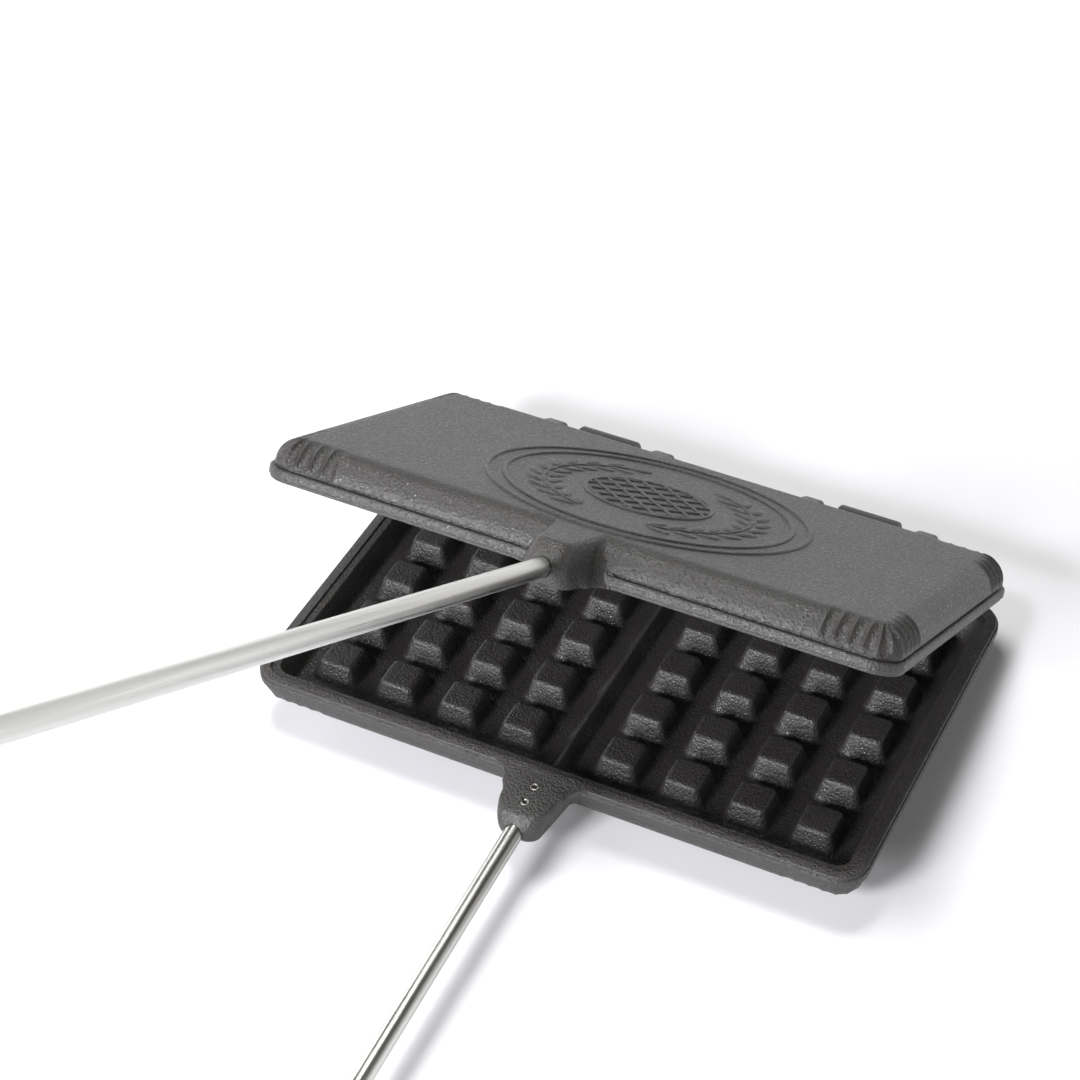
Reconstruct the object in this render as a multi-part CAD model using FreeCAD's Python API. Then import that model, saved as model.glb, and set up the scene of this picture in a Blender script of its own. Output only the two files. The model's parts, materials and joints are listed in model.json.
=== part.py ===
import FreeCAD, Part

import math
import os

# A stovetop waffle iron: two hinged cast iron half shells with square studs inside,
# each carried on a long steel rod with a turned wooden grip.
#
# Every half is drawn in its own casting frame first: X across the plate, Y from the handle side
# (minus) to the hinge side (plus), Z up, with z = 0 on the face where the two halves meet.
# The upper half is the mirror image of the lower one and is then swung open about the hinge.
# Last, the whole iron is tipped as it lies on a table, on the rear edge of the lower casting and
# on the lower grip, and its origin is put under its middle.

Vector = FreeCAD.Vector
AXIS_X = Vector(1, 0, 0)
AXIS_Y = Vector(0, 1, 0)
AXIS_Z = Vector(0, 0, 1)

# Plate
plate_width = 216.0
plate_depth = 136.0
plate_corner_radius = 10.0
half_thickness = 14.0
flange_height = 4.2
lip_height = 1.2
lip_inset = 0.6
dome_inset = 1.2
groove_height = 0.8
groove_depth = 0.8

# Rim and cavity
rim_land = 4.0
ledge_drop = 1.0
ledge_width = 2.5
cavity_depth = 10.4
cavity_wall_run = 2.5
cavity_corner_radius = 5.0
floor_flare_height = 1.4
floor_flare_run = 1.4

# Studs
stud_columns_per_side = 4
stud_rows = 5
stud_pitch_x = 22.7
stud_pitch_y = 21.95
middle_gap = 24.2
stud_top_width = 11.2
stud_top_drop = 2.8
stud_draft_run = 2.0
stud_foot_run = 1.2
stud_foot_height = 1.4
stud_root = 1.0

# Middle divider
divider_crest_width = 0.9
divider_base_width = 7.0
divider_drop = 5.2

# Handle boss
boss_root_width = 22.0
boss_nose_width = 18.0
boss_nose_corner_radius = 5.5
boss_web_radius = 7.0
boss_outer_root_width = 16.0
boss_outer_nose_width = 11.6
boss_outer_corner_radius = 3.0
boss_outer_web_radius = 1.75
boss_root_depth = 2.0
boss_face_sink = 0.2
boss_length = 20.5
boss_face_length = 17.0
boss_nose_bulge_drop = 6.2
boss_nose_underside = 16.0
boss_nose_underside_drop = 12.8
boss_nose_underside_step = 1.2

# Handle rods
rod_diameter = 6.35
rod_spread_angle = 3.9
rod_axis_drop = 6.3
socket_depth = 23.0
socket_clearance = 0.05
socket_end_gap = 0.3
rod_exposed_length = 365.0

# Spring pins through boss and rod
spring_pin_diameter = 3.0
spring_pin_rear_reach = 4.6
spring_pin_spacing = 7.1
spring_pin_recess = 0.4
spring_pin_length = 11.0
spring_pin_clearance = 0.02

# Hinge
hinge_left_end_distance = 61.2
hinge_right_end_distance = 55.8
hinge_back = 11.5
hinge_rise = 3.5
knuckle_width = 22.0
knuckle_radius = 7.3
knuckle_top_drop = 3.0
knuckle_bottom_drop = 11.0
knuckle_root = 5.0
ear_width = 7.0
ear_spacing = 42.0
ear_radius = 6.5
ear_bottom_rise = 2.8
ear_top_rise = 11.6
ear_root = 6.0
hinge_pin_diameter = 5.0
hinge_pin_clearance = 0.06
hinge_pin_end_length = 0.8
parting_gap = 0.15
lid_open_angle = 29.5

# Two raised rings on the lid
ring_diameter = 109.0
ring_line_width = 1.8
ring_line_gap = 4.0
ring_line_height = 0.6
ring_line_root = 0.5
ring_forward = 3.0

# Grips, ferrules, washers and cap nuts
grip_length = 160.0
grip_diameter = 25.4
grip_end_bevel = 4.0
grip_bore_clearance = 0.1
ferrule_length = 14.0
ferrule_wall = 0.8
ferrule_overlap = 0.05
washer_diameter = 16.0
washer_thickness = 1.5
cap_nut_flats = 11.0
cap_nut_hex_length = 5.5
cap_nut_crown_length = 4.0
cap_nut_bore_depth = 7.0
cap_nut_wall = 0.6

# One overrun for every cut that passes right through something
overrun = 6.0

# Places that follow from the sizes above
front_edge = -plate_depth / 2
back_edge = plate_depth / 2
dome_edge_radius = plate_corner_radius - dome_inset
hinge_y = back_edge + hinge_back
hinge_left_x = hinge_left_end_distance - plate_width / 2
hinge_right_x = plate_width / 2 - hinge_right_end_distance
rod_radius = rod_diameter / 2
spring_pin_radius = spring_pin_diameter / 2
hinge_pin_radius = hinge_pin_diameter / 2
boss_face_drop = half_thickness - boss_face_sink
rod_mouth = Vector(0, front_edge - boss_length, -rod_axis_drop)
rod_direction = Vector(0, -math.cos(math.radians(rod_spread_angle)),
                       -math.sin(math.radians(rod_spread_angle)))
spring_pin_places = [front_edge - spring_pin_rear_reach,
                     front_edge - spring_pin_rear_reach - spring_pin_spacing]


def rounded_outline(width, depth, radius, z):
    """Closed wire of a rectangle with round corners, centred on the plate."""
    x = width / 2 - radius
    y = depth / 2 - radius
    arcs = []
    for turn, (cx, cy) in enumerate([(x, y), (-x, y), (-x, -y), (x, -y)]):
        circle = Part.Circle(Vector(cx, cy, z), AXIS_Z, radius)
        start = turn * math.pi / 2
        arcs.append(Part.Arc(circle, start, start + math.pi / 2).toShape())
    edges = []
    for turn, arc in enumerate(arcs):
        following = arcs[(turn + 1) % len(arcs)]
        edges.append(arc)
        edges.append(Part.makeLine(arc.Vertexes[-1].Point, following.Vertexes[0].Point))
    return Part.Wire(edges)


def inset_slab(inset, radius, z_low, z_high):
    """Flat slab with the plate's outline drawn in by an inset."""
    wire = rounded_outline(plate_width - 2 * inset, plate_depth - 2 * inset, radius, z_low)
    return Part.Face(wire).extrude(Vector(0, 0, z_high - z_low))


def polygon_face(points):
    """Flat face through a ring of points."""
    return Part.Face(Part.makePolygon(points + points[:1]))


def stacked_squares(cx, cy, levels):
    """Solid through square sections, each given as half its width and its height."""
    corners = [(-1, -1), (1, -1), (1, 1), (-1, 1)]
    rings = [[Vector(cx + sx * half, cy + sy * half, z) for sx, sy in corners]
             for half, z in levels]
    faces = [polygon_face(rings[0]), polygon_face(rings[-1])]
    for low, high in zip(rings, rings[1:]):
        for side in range(len(corners)):
            after = (side + 1) % len(corners)
            faces.append(polygon_face([low[side], low[after], high[after], high[side]]))
    return Part.Solid(Part.Shell(faces))


def dome():
    """Outer shell of a half: a slab whose edge is rounded as its corners are, above a groove."""
    shell = inset_slab(dome_inset, dome_edge_radius, -half_thickness, -flange_height)
    low_edges = [edge for edge in shell.Edges
                 if abs(edge.BoundBox.ZMax + half_thickness) < lip_inset
                 and abs(edge.BoundBox.ZMin + half_thickness) < lip_inset]
    shell = shell.makeFillet(dome_edge_radius, low_edges)
    groove_low = -flange_height - groove_height
    ring = inset_slab(dome_inset - overrun, plate_corner_radius, groove_low, -flange_height)
    core = inset_slab(dome_inset + groove_depth, dome_edge_radius - groove_depth,
                      groove_low - overrun, 0)
    return shell.cut(ring.cut(core))


def boss_plan(root_width, nose_width, corner_radius, web_radius, base, z):
    """Closed wire of the boss seen from above: round nose corners and concave webs at its base."""
    nose = front_edge - boss_length
    bend = 1 - math.sqrt(0.5)
    edges = []
    for side in (1, -1):
        x_root = side * root_width / 2
        x_nose = side * nose_width / 2
        x_web = x_root + side * web_radius
        web_middle = Vector(x_root + side * web_radius * bend, base - web_radius * bend, z)
        corner_middle = Vector(x_nose - side * corner_radius * bend, nose + corner_radius * bend, z)
        web_end = Vector(x_web, base, z)
        web_start = Vector(x_root, base - web_radius, z)
        corner_start = Vector(x_nose, nose + corner_radius, z)
        corner_end = Vector(x_nose - side * corner_radius, nose, z)
        half = [Part.makeLine(Vector(0, base + boss_root_depth, z),
                              Vector(x_web, base + boss_root_depth, z)),
                Part.makeLine(Vector(x_web, base + boss_root_depth, z), web_end),
                Part.Arc(web_end, web_middle, web_start).toShape(),
                Part.makeLine(web_start, corner_start),
                Part.Arc(corner_start, corner_middle, corner_end).toShape(),
                Part.makeLine(corner_end, Vector(0, nose, z))]
        edges.extend(half)
    return Part.Wire(Part.__sortEdges__(edges))


def boss_blank():
    """Handle boss on the front edge: drafted towards its outer face, with a bulging nose."""
    flat_edge = front_edge + dome_inset + dome_edge_radius
    wide = boss_plan(boss_root_width, boss_nose_width, boss_nose_corner_radius, boss_web_radius,
                     front_edge + lip_inset, 0)
    narrow = boss_plan(boss_outer_root_width, boss_outer_nose_width, boss_outer_corner_radius,
                       boss_outer_web_radius, flat_edge, -boss_face_drop)
    body = Part.makeLoft([wide, narrow], True, True)
    aside = -overrun - boss_root_width
    face_end = Vector(aside, front_edge - boss_face_length, 0)
    bulge = Vector(aside, front_edge - boss_length, -boss_nose_bulge_drop)
    under = Vector(aside, front_edge - boss_nose_underside, -boss_nose_underside_drop)
    under_low = Vector(aside, front_edge - boss_nose_underside + boss_nose_underside_step,
                       -boss_face_drop)
    back_low = Vector(aside, flat_edge + overrun, -boss_face_drop)
    back_high = Vector(aside, flat_edge + overrun, 0)
    side = Part.Wire([Part.Arc(face_end, bulge, under).toShape(), Part.makeLine(under, under_low),
                      Part.makeLine(under_low, back_low), Part.makeLine(back_low, back_high),
                      Part.makeLine(back_high, face_end)])
    return body.common(Part.Face(side).extrude(Vector(-2 * aside, 0, 0)))


def cavity_cutter():
    """Ledge and sloping cavity that are cut into the meeting face, with a flared foot."""
    ledge = inset_slab(rim_land, plate_corner_radius - rim_land, -ledge_drop, overrun)
    top_inset = rim_land + ledge_width
    low_inset = top_inset + cavity_wall_run
    levels = [(top_inset, -ledge_drop), (low_inset, floor_flare_height - cavity_depth),
              (low_inset + floor_flare_run, -cavity_depth)]
    pocket = ledge
    for (inset_a, z_a), (inset_b, z_b) in zip(levels, levels[1:]):
        wires = [rounded_outline(plate_width - 2 * inset, plate_depth - 2 * inset,
                                 cavity_corner_radius, z)
                 for inset, z in ((inset_a, z_a), (inset_b, z_b))]
        pocket = pocket.fuse(Part.makeLoft(wires, True, True))
    return pocket


def stud_centres():
    """Middle of every stud, in two fields with the wider gap between them."""
    first_x = middle_gap / 2 + stud_top_width / 2
    first_y = -stud_pitch_y * (stud_rows - 1) / 2
    centres = []
    for side in (-1, 1):
        for column in range(stud_columns_per_side):
            for row in range(stud_rows):
                centres.append((side * (first_x + column * stud_pitch_x), first_y + row * stud_pitch_y))
    return centres


def studs():
    """Square tapered studs with a flared foot, rooted in the floor of the cavity."""
    half_top = stud_top_width / 2
    half_knee = half_top + stud_draft_run
    half_foot = half_knee + stud_foot_run
    levels = [(half_foot, -cavity_depth - stud_root), (half_foot, -cavity_depth),
              (half_knee, stud_foot_height - cavity_depth), (half_top, -stud_top_drop)]
    return [stacked_squares(x, y, levels) for x, y in stud_centres()]


def divider():
    """Low ridge between the two fields of studs."""
    half_base = divider_base_width / 2
    half_crest = divider_crest_width / 2
    length = plate_depth - 2 * (rim_land + ledge_width) - ledge_drop
    y = -length / 2
    ring = [Vector(-half_base, y, -cavity_depth - stud_root), Vector(half_base, y, -cavity_depth - stud_root),
            Vector(half_base, y, -cavity_depth), Vector(half_crest, y, -divider_drop),
            Vector(-half_crest, y, -divider_drop), Vector(-half_base, y, -cavity_depth)]
    return polygon_face(ring).extrude(Vector(0, length, 0))


def rod_line(distance):
    """Point on the lower rod's axis, counted outwards from the mouth of its socket."""
    return rod_mouth + rod_direction * distance


def socket_cutter():
    """Bore for the rod, from the nose of the boss inwards."""
    radius = rod_radius + socket_clearance
    start = rod_line(-socket_depth)
    return Part.makeCylinder(radius, socket_depth + overrun, start, rod_direction)


def spring_pin_cutters(radius):
    """Upright blind bores from the meeting face for the two spring pins."""
    bottom = -spring_pin_recess - spring_pin_length
    return [Part.makeCylinder(radius, overrun - bottom, Vector(0, y, bottom)) for y in spring_pin_places]


def casting_half():
    """Lower half shell without its hinge: flange, dome, boss, cavity, studs and divider."""
    lip = inset_slab(lip_inset, plate_corner_radius - lip_inset, -lip_height, 0)
    flange = inset_slab(0, plate_corner_radius, -flange_height, -lip_height)
    shell = flange.fuse([lip, dome(), boss_blank()])
    shell = shell.cut(cavity_cutter())
    shell = shell.fuse(studs() + [divider()])
    return shell.cut([socket_cutter()] + spring_pin_cutters(spring_pin_radius + spring_pin_clearance))


def tangent_point(outside, centre, radius, side):
    """Point where a line from an outside point touches a circle, in the YZ plane."""
    dy = outside[0] - centre[0]
    dz = outside[1] - centre[1]
    distance = math.hypot(dy, dz)
    angle = math.atan2(dz, dy) + side * math.acos(radius / distance)
    return (centre[0] + radius * math.cos(angle), centre[1] + radius * math.sin(angle))


def lug(x_low, x_high, low, high, radius):
    """Arm from a casting's wall that wraps round the hinge axis."""
    centre = (hinge_y, hinge_rise)
    touch_high = tangent_point(high, centre, radius, -1)
    touch_low = tangent_point(low, centre, radius, 1)
    arc = Part.Arc(Vector(x_low, *touch_high), Vector(x_low, centre[0] + radius, centre[1]),
                   Vector(x_low, *touch_low)).toShape()
    wire = Part.Wire([Part.makeLine(Vector(x_low, *high), Vector(x_low, *touch_high)), arc,
                      Part.makeLine(Vector(x_low, *touch_low), Vector(x_low, *low)),
                      Part.makeLine(Vector(x_low, *low), Vector(x_low, *high))])
    return Part.Face(wire).extrude(Vector(x_high - x_low, 0, 0))


def hinge_bore(x_low, x_high, radius):
    """Round bar on the hinge axis, for pins and for the bores they run in."""
    return Part.makeCylinder(radius, x_high - x_low, Vector(x_low, hinge_y, hinge_rise), AXIS_X)


def lower_plate(half_shell):
    """Lower casting: the half shell with its two broad knuckles."""
    half = knuckle_width / 2
    low = (back_edge - knuckle_root, -knuckle_bottom_drop)
    high = (back_edge - dome_inset - groove_depth, -knuckle_top_drop)
    knuckles = [lug(x - half, x + half, low, high, knuckle_radius) for x in (hinge_left_x, hinge_right_x)]
    bores = [hinge_bore(x - half - overrun, x + half + overrun, hinge_pin_radius + hinge_pin_clearance)
             for x in (hinge_left_x, hinge_right_x)]
    return half_shell.fuse(knuckles).cut(bores).removeSplitter()


def raised_ring(diameter, low, high):
    """One raised line of the round frame on the lid."""
    base = Vector(0, -ring_forward, low)
    outer = Part.makeCylinder(diameter / 2, high - low, base)
    return outer.cut(Part.makeCylinder(diameter / 2 - ring_line_width, high - low, base))


def upper_plate(half_shell):
    """Upper casting, drawn closed: the mirrored half shell with two pairs of ears and the rings."""
    half = ear_width / 2
    low = (back_edge - ear_root, ear_bottom_rise)
    high = (back_edge - ear_root, ear_top_rise)
    ears = []
    bores = []
    for hinge_x in (hinge_left_x, hinge_right_x):
        for side in (-1, 1):
            x = hinge_x + side * ear_spacing / 2
            ears.append(lug(x - half, x + half, low, high, ear_radius))
            bores.append(hinge_bore(x - half - overrun, x + half + overrun, hinge_pin_radius))
    plate = mirrored_up(half_shell).fuse(ears).cut(bores)
    low_z = parting_gap + half_thickness - ring_line_root
    high_z = parting_gap + half_thickness + ring_line_height
    step = 2 * (ring_line_width + ring_line_gap)
    rings = [raised_ring(ring_diameter, low_z, high_z), raised_ring(ring_diameter - step, low_z, high_z)]
    return plate.fuse(rings).removeSplitter()


def hinge_pin(hinge_x):
    """Steel pin through a pair of ears, standing a little proud of both."""
    reach = ear_spacing / 2 + ear_width / 2 + hinge_pin_end_length
    return hinge_bore(hinge_x - reach, hinge_x + reach, hinge_pin_radius)


def grip_start():
    """Distance from the socket's mouth to the front of the ferrule."""
    return rod_exposed_length


def revolved(outline, base):
    """Solid turned about the rod's axis; each corner of the outline is a distance and a radius."""
    corners = [Vector(radius, 0, along) for along, radius in outline]
    solid = polygon_face(corners).revolve(Vector(0, 0, 0), AXIS_Z, math.degrees(2 * math.pi))
    solid.Placement = FreeCAD.Placement(rod_line(base), FreeCAD.Rotation(AXIS_Z, rod_direction))
    return solid


def grip():
    """Turned wooden grip with a bevelled end, and a spigot in front that carries the ferrule."""
    bore = rod_radius + grip_bore_clearance
    widest = grip_diameter / 2
    spigot = widest - ferrule_wall - ferrule_overlap
    outline = [(0, bore), (0, spigot), (ferrule_length, spigot), (ferrule_length, widest),
               (grip_length - grip_end_bevel, widest), (grip_length, widest - grip_end_bevel),
               (grip_length, bore)]
    return revolved(outline, grip_start())


def ferrule():
    """Thin steel ring on the front of the grip, flush with the wood."""
    outer = grip_diameter / 2
    inner = outer - ferrule_wall
    outline = [(0, inner), (0, outer), (ferrule_length, outer), (ferrule_length, inner)]
    return revolved(outline, grip_start())


def grip_washer():
    """Flat washer between the grip and its nut."""
    inner = rod_radius + grip_bore_clearance
    outer = washer_diameter / 2
    outline = [(0, inner), (0, outer), (washer_thickness, outer), (washer_thickness, inner)]
    return revolved(outline, grip_start() + grip_length)


def cap_nut():
    """Closed nut with a round crown on the threaded end of the rod."""
    base = grip_start() + grip_length + washer_thickness
    corner = cap_nut_flats / math.sqrt(3)
    turns = [side * math.pi / 3 for side in range(6)]
    ring = [Vector(corner * math.cos(turn), corner * math.sin(turn), 0) for turn in turns]
    nut = polygon_face(ring).extrude(Vector(0, 0, cap_nut_hex_length))
    crown_radius = cap_nut_flats / 2 - cap_nut_wall
    nut = nut.fuse(Part.makeCylinder(crown_radius, cap_nut_crown_length, Vector(0, 0, cap_nut_hex_length)))
    nut = nut.cut(Part.makeCylinder(rod_radius, cap_nut_bore_depth))
    nut.Placement = FreeCAD.Placement(rod_line(base), FreeCAD.Rotation(AXIS_Z, rod_direction))
    return nut


def handle_rod():
    """Straight rod from the blind end of the socket into the cap nut, with two pin holes."""
    start = socket_end_gap - socket_depth
    end = grip_start() + grip_length + washer_thickness + cap_nut_bore_depth - socket_end_gap
    rod = Part.makeCylinder(rod_radius, end - start, rod_line(start), rod_direction)
    return rod.cut(spring_pin_cutters(spring_pin_radius + spring_pin_clearance))


def spring_pins():
    """Two steel pins through the rod, on the floor of their bores in the boss."""
    low = -spring_pin_recess - spring_pin_length
    return Part.makeCompound([Part.makeCylinder(spring_pin_radius, spring_pin_length, Vector(0, y, low))
                              for y in spring_pin_places])


def mirrored_up(shape):
    """The same piece for the upper half, closed on the lower one with the meeting gap."""
    mirrored = shape.mirror(Vector(0, 0, 0), AXIS_Z)
    mirrored.translate(AXIS_Z * parting_gap)
    return mirrored


def swung_open(shape):
    """A closed upper piece, swung open about the hinge pins."""
    opened = shape.copy()
    opened.rotate(Vector(0, hinge_y, hinge_rise), AXIS_X, -lid_open_angle)
    return opened


def resting_tilt():
    """Angle in degrees between the meeting face and the table under the lower half.

    The table touches the rounded rear edge of the lower casting and the far end of the grip.
    """
    rear_y = back_edge - dome_inset - dome_edge_radius
    rear_z = dome_edge_radius - half_thickness
    downward = Vector(0, -rod_direction.z, rod_direction.y)
    touch = rod_line(grip_start() + grip_length - grip_end_bevel) + downward * (grip_diameter / 2)
    reach = math.hypot(rear_y - touch.y, rear_z - touch.z)
    slope = math.atan2(rear_z - touch.z, rear_y - touch.y)
    return math.degrees(slope - math.asin(dome_edge_radius / reach))


def build():
    """All pieces by name, opened, tipped and moved to the origin under the middle."""
    half_shell = casting_half()
    lower = {
        "lower_plate": lower_plate(half_shell),
        "lower_handle_rod": handle_rod(),
        "lower_socket_pins": spring_pins(),
        "lower_grip": grip(),
        "lower_ferrule": ferrule(),
        "lower_grip_washer": grip_washer(),
        "lower_cap_nut": cap_nut(),
    }
    upper = {name.replace("lower", "upper"): mirrored_up(shape)
             for name, shape in lower.items() if name != "lower_plate"}
    upper["upper_plate"] = upper_plate(half_shell)
    upper["left_hinge_pin"] = hinge_pin(hinge_left_x)
    upper["right_hinge_pin"] = hinge_pin(hinge_right_x)
    pieces = dict(lower)
    for name, shape in upper.items():
        pieces[name] = swung_open(shape)
    tilt = resting_tilt()
    for shape in pieces.values():
        shape.rotate(Vector(0, 0, 0), AXIS_X, -tilt)
    whole = Part.makeCompound(list(pieces.values())).optimalBoundingBox(True, False)
    shift = Vector(-whole.Center.x, -whole.Center.y, -whole.ZMin)
    for shape in pieces.values():
        shape.translate(shift)
    axis = FreeCAD.Rotation(AXIS_X, -tilt).multVec(Vector(0, hinge_y, hinge_rise)) + shift
    print("tilt", round(tilt, 4), "shift", shift, "hinge axis", axis)
    return pieces


def main():
    """Write one file per piece."""
    os.makedirs("parts", exist_ok=True)
    for name, shape in build().items():
        shape.exportStep("parts/" + name + ".step")
        print(name, "solids", len(shape.Solids), "valid", shape.isValid(),
              "volume", round(shape.Volume, 1))


main()
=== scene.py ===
"""Looks of a stovetop waffle iron, dressed around its construction model.

Meshes are drawn in millimetres in the casting frame of the lower half: X across the plate, Y from
the grips to the hinge, Z up, with z = 0 on the face where both halves meet. The upper half is the
mirror image, swung open about the hinge. Each finished mesh is carried into the row frame in metres.
"""

from __future__ import annotations

import json
import logging
import math
from dataclasses import dataclass
from enum import Enum

import bmesh
import bpy
from mathutils import Matrix, Vector

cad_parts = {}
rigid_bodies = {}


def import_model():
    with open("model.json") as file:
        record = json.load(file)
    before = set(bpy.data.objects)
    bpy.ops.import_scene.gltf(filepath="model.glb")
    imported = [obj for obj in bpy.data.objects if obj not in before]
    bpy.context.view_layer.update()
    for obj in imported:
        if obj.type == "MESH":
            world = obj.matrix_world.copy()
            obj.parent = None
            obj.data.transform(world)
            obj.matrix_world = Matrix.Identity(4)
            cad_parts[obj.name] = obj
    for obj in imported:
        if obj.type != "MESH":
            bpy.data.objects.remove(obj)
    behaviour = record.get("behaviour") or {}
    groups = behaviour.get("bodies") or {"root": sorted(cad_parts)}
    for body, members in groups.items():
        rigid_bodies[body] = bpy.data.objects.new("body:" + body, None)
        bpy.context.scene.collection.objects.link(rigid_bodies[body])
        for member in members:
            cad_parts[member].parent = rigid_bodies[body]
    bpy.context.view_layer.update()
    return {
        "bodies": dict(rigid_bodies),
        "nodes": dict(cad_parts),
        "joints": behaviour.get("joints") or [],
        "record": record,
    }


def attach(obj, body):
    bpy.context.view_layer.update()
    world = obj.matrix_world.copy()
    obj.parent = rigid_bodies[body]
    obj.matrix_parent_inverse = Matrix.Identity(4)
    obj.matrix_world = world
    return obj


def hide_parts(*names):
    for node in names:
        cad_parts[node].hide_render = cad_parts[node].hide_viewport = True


LOG = logging.getLogger("waffle_iron")
MILLIMETRE = 0.001
OWN_PLACE = "own_place"
NO_FLUTE = -99.0
WELD_REACH = 1e-4
CUTTER_SIDES = 40
COOL_WHITE = (0.96, 0.95, 1.0)
CAST_CREASE = 32.0
TURNED_CREASE = 30.0
UPSIDE_DOWN = Matrix.Diagonal((1, 1, -1, 1))

Ring = list[Vector]


class Half(Enum):
    """The two halves of the iron, by the name of the body that carries them."""

    LOWER = "lower"
    UPPER = "upper"


class Skin(Enum):
    """Material slots of a casting."""

    OUTSIDE = 0
    INSIDE = 1


@dataclass(frozen=True)
class PlateSizes:
    """Sizes of one cast half, in millimetres."""

    width: float = 216.0
    depth: float = 136.0
    corner: float = 10.0
    thickness: float = 14.0
    flange: float = 4.2
    lip_height: float = 1.2
    lip_inset: float = 0.6
    dome_inset: float = 1.2
    groove: float = 0.8
    rim_land: float = 4.0
    ledge_drop: float = 1.0
    ledge_width: float = 2.5
    cavity_depth: float = 10.4
    cavity_wall_run: float = 2.5
    cavity_corner: float = 5.0
    parting_gap: float = 0.15

    @property
    def dome_edge(self) -> float:
        """Radius of the dome's rounded edge and of its corners."""
        return self.corner - self.dome_inset

    @property
    def front(self) -> float:
        """Place of the front edge along Y."""
        return -self.depth / 2

    @property
    def back(self) -> float:
        """Place of the back edge along Y."""
        return self.depth / 2


@dataclass(frozen=True)
class EdgeSizes:
    """Roundings of the shell's profile, in millimetres, and the steps that they are drawn in."""

    flat_rings: tuple[float, float] = (3.5, 1.6)
    dome_steps: int = 14
    dome_top: float = 0.2
    groove_corner: float = 0.15
    flange_under: float = 0.7
    flange_over: float = 0.3
    lip_foot: float = 0.25
    lip_top: float = 0.45
    rim_steps: int = 3
    land_run: float = 0.8
    land_edge: float = 0.35
    ledge_foot: float = 0.3
    ledge_edge: float = 0.6
    wall_foot: float = 1.8
    wall_foot_run: float = 0.35
    floor_run: float = 4.5
    wall_steps: int = 4
    least_corner: float = 0.3
    skin_margin: float = 0.1
    cavity_margin: float = 1.0
    floor_margin: float = 0.5


@dataclass(frozen=True)
class StudSizes:
    """Sizes of the square studs and of the divider between their two fields, in millimetres.

    The divider's flare gives its rise at distances from each of its ends.
    """

    columns_per_side: int = 4
    rows: int = 5
    pitch_x: float = 22.7
    pitch_y: float = 21.95
    middle_gap: float = 24.2
    top_width: float = 11.2
    top_drop: float = 2.8
    foot_width: float = 16.1
    top_rounding: float = 1.6
    foot_rounding: float = 2.0
    top_corner: float = 1.3
    foot_corner: float = 3.0
    foot_skirt: float = 2.6
    foot_sunk: float = 0.02
    least_flat: float = 0.2
    side_steps: int = 5
    corner_steps: int = 4
    divider_crest: float = 0.9
    divider_base: float = 7.0
    divider_drop: float = 5.2
    divider_crown: float = 0.02
    divider_foot_rounding: float = 1.6
    divider_crest_rounding: float = 0.45
    divider_skirt: float = 2.0
    divider_sunk: float = 0.05
    divider_root: float = 1.0
    divider_end_gap: float = 0.6
    divider_flare: tuple[tuple[float, float], ...] = ((0.0, 3.2), (1.6, 1.9), (3.4, 0.8), (6.0, 0.0))
    divider_steps: int = 4


@dataclass(frozen=True)
class FluteSizes:
    """Sizes of the fans of flutes at the corners of the dome, in millimetres."""

    pitch: float = 4.6
    depth: float = 0.95
    lower_share: float = 0.28
    width_share: float = 0.84
    beyond_corner: int = 3
    run_out: float = 0.7
    samples: int = 8
    side_pitches: int = 2
    least_spans: int = 2
    start_share: float = 0.16
    fade_from: float = 0.62
    fade_to: float = 1.06


@dataclass(frozen=True)
class BossSizes:
    """Sizes of the drafted boss that holds a handle rod, in millimetres.

    Each level is given by its drop below the meeting face and what it measures there. The nose is
    round over the first levels, and straight below them.
    """

    drops: tuple[float, ...] = (0.0, 6.2, 12.8, 13.97)
    round_levels: int = 3
    reaches: tuple[float, ...] = (17.0, 20.5, 16.0, 14.8)
    corners_across: tuple[float, ...] = (4.6, 5.6, 3.4, 3.0)
    corners_along: tuple[float, ...] = (8.5, 6.0, 3.4, 3.0)
    root_widths: tuple[float, float] = (22.0, 16.0)
    nose_widths: tuple[float, float] = (18.0, 11.6)
    webs: tuple[float, float] = (7.0, 1.75)
    root_depth: float = 2.0
    length: float = 20.5
    sunk: float = 0.04
    face_rounding: float = 0.5
    outer_rounding: float = 1.2
    shell_overlap: float = 0.25
    rounding_steps: int = 4
    side_steps: int = 18
    web_steps: int = 8
    flank_steps: int = 4
    nose_steps: int = 9
    socket_overrun: float = 8.0
    socket_facet_room: float = 0.12
    bore_overrun: float = 6.0
    bore_facet_room: float = 0.06
    bore_sides: int = 32


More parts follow.
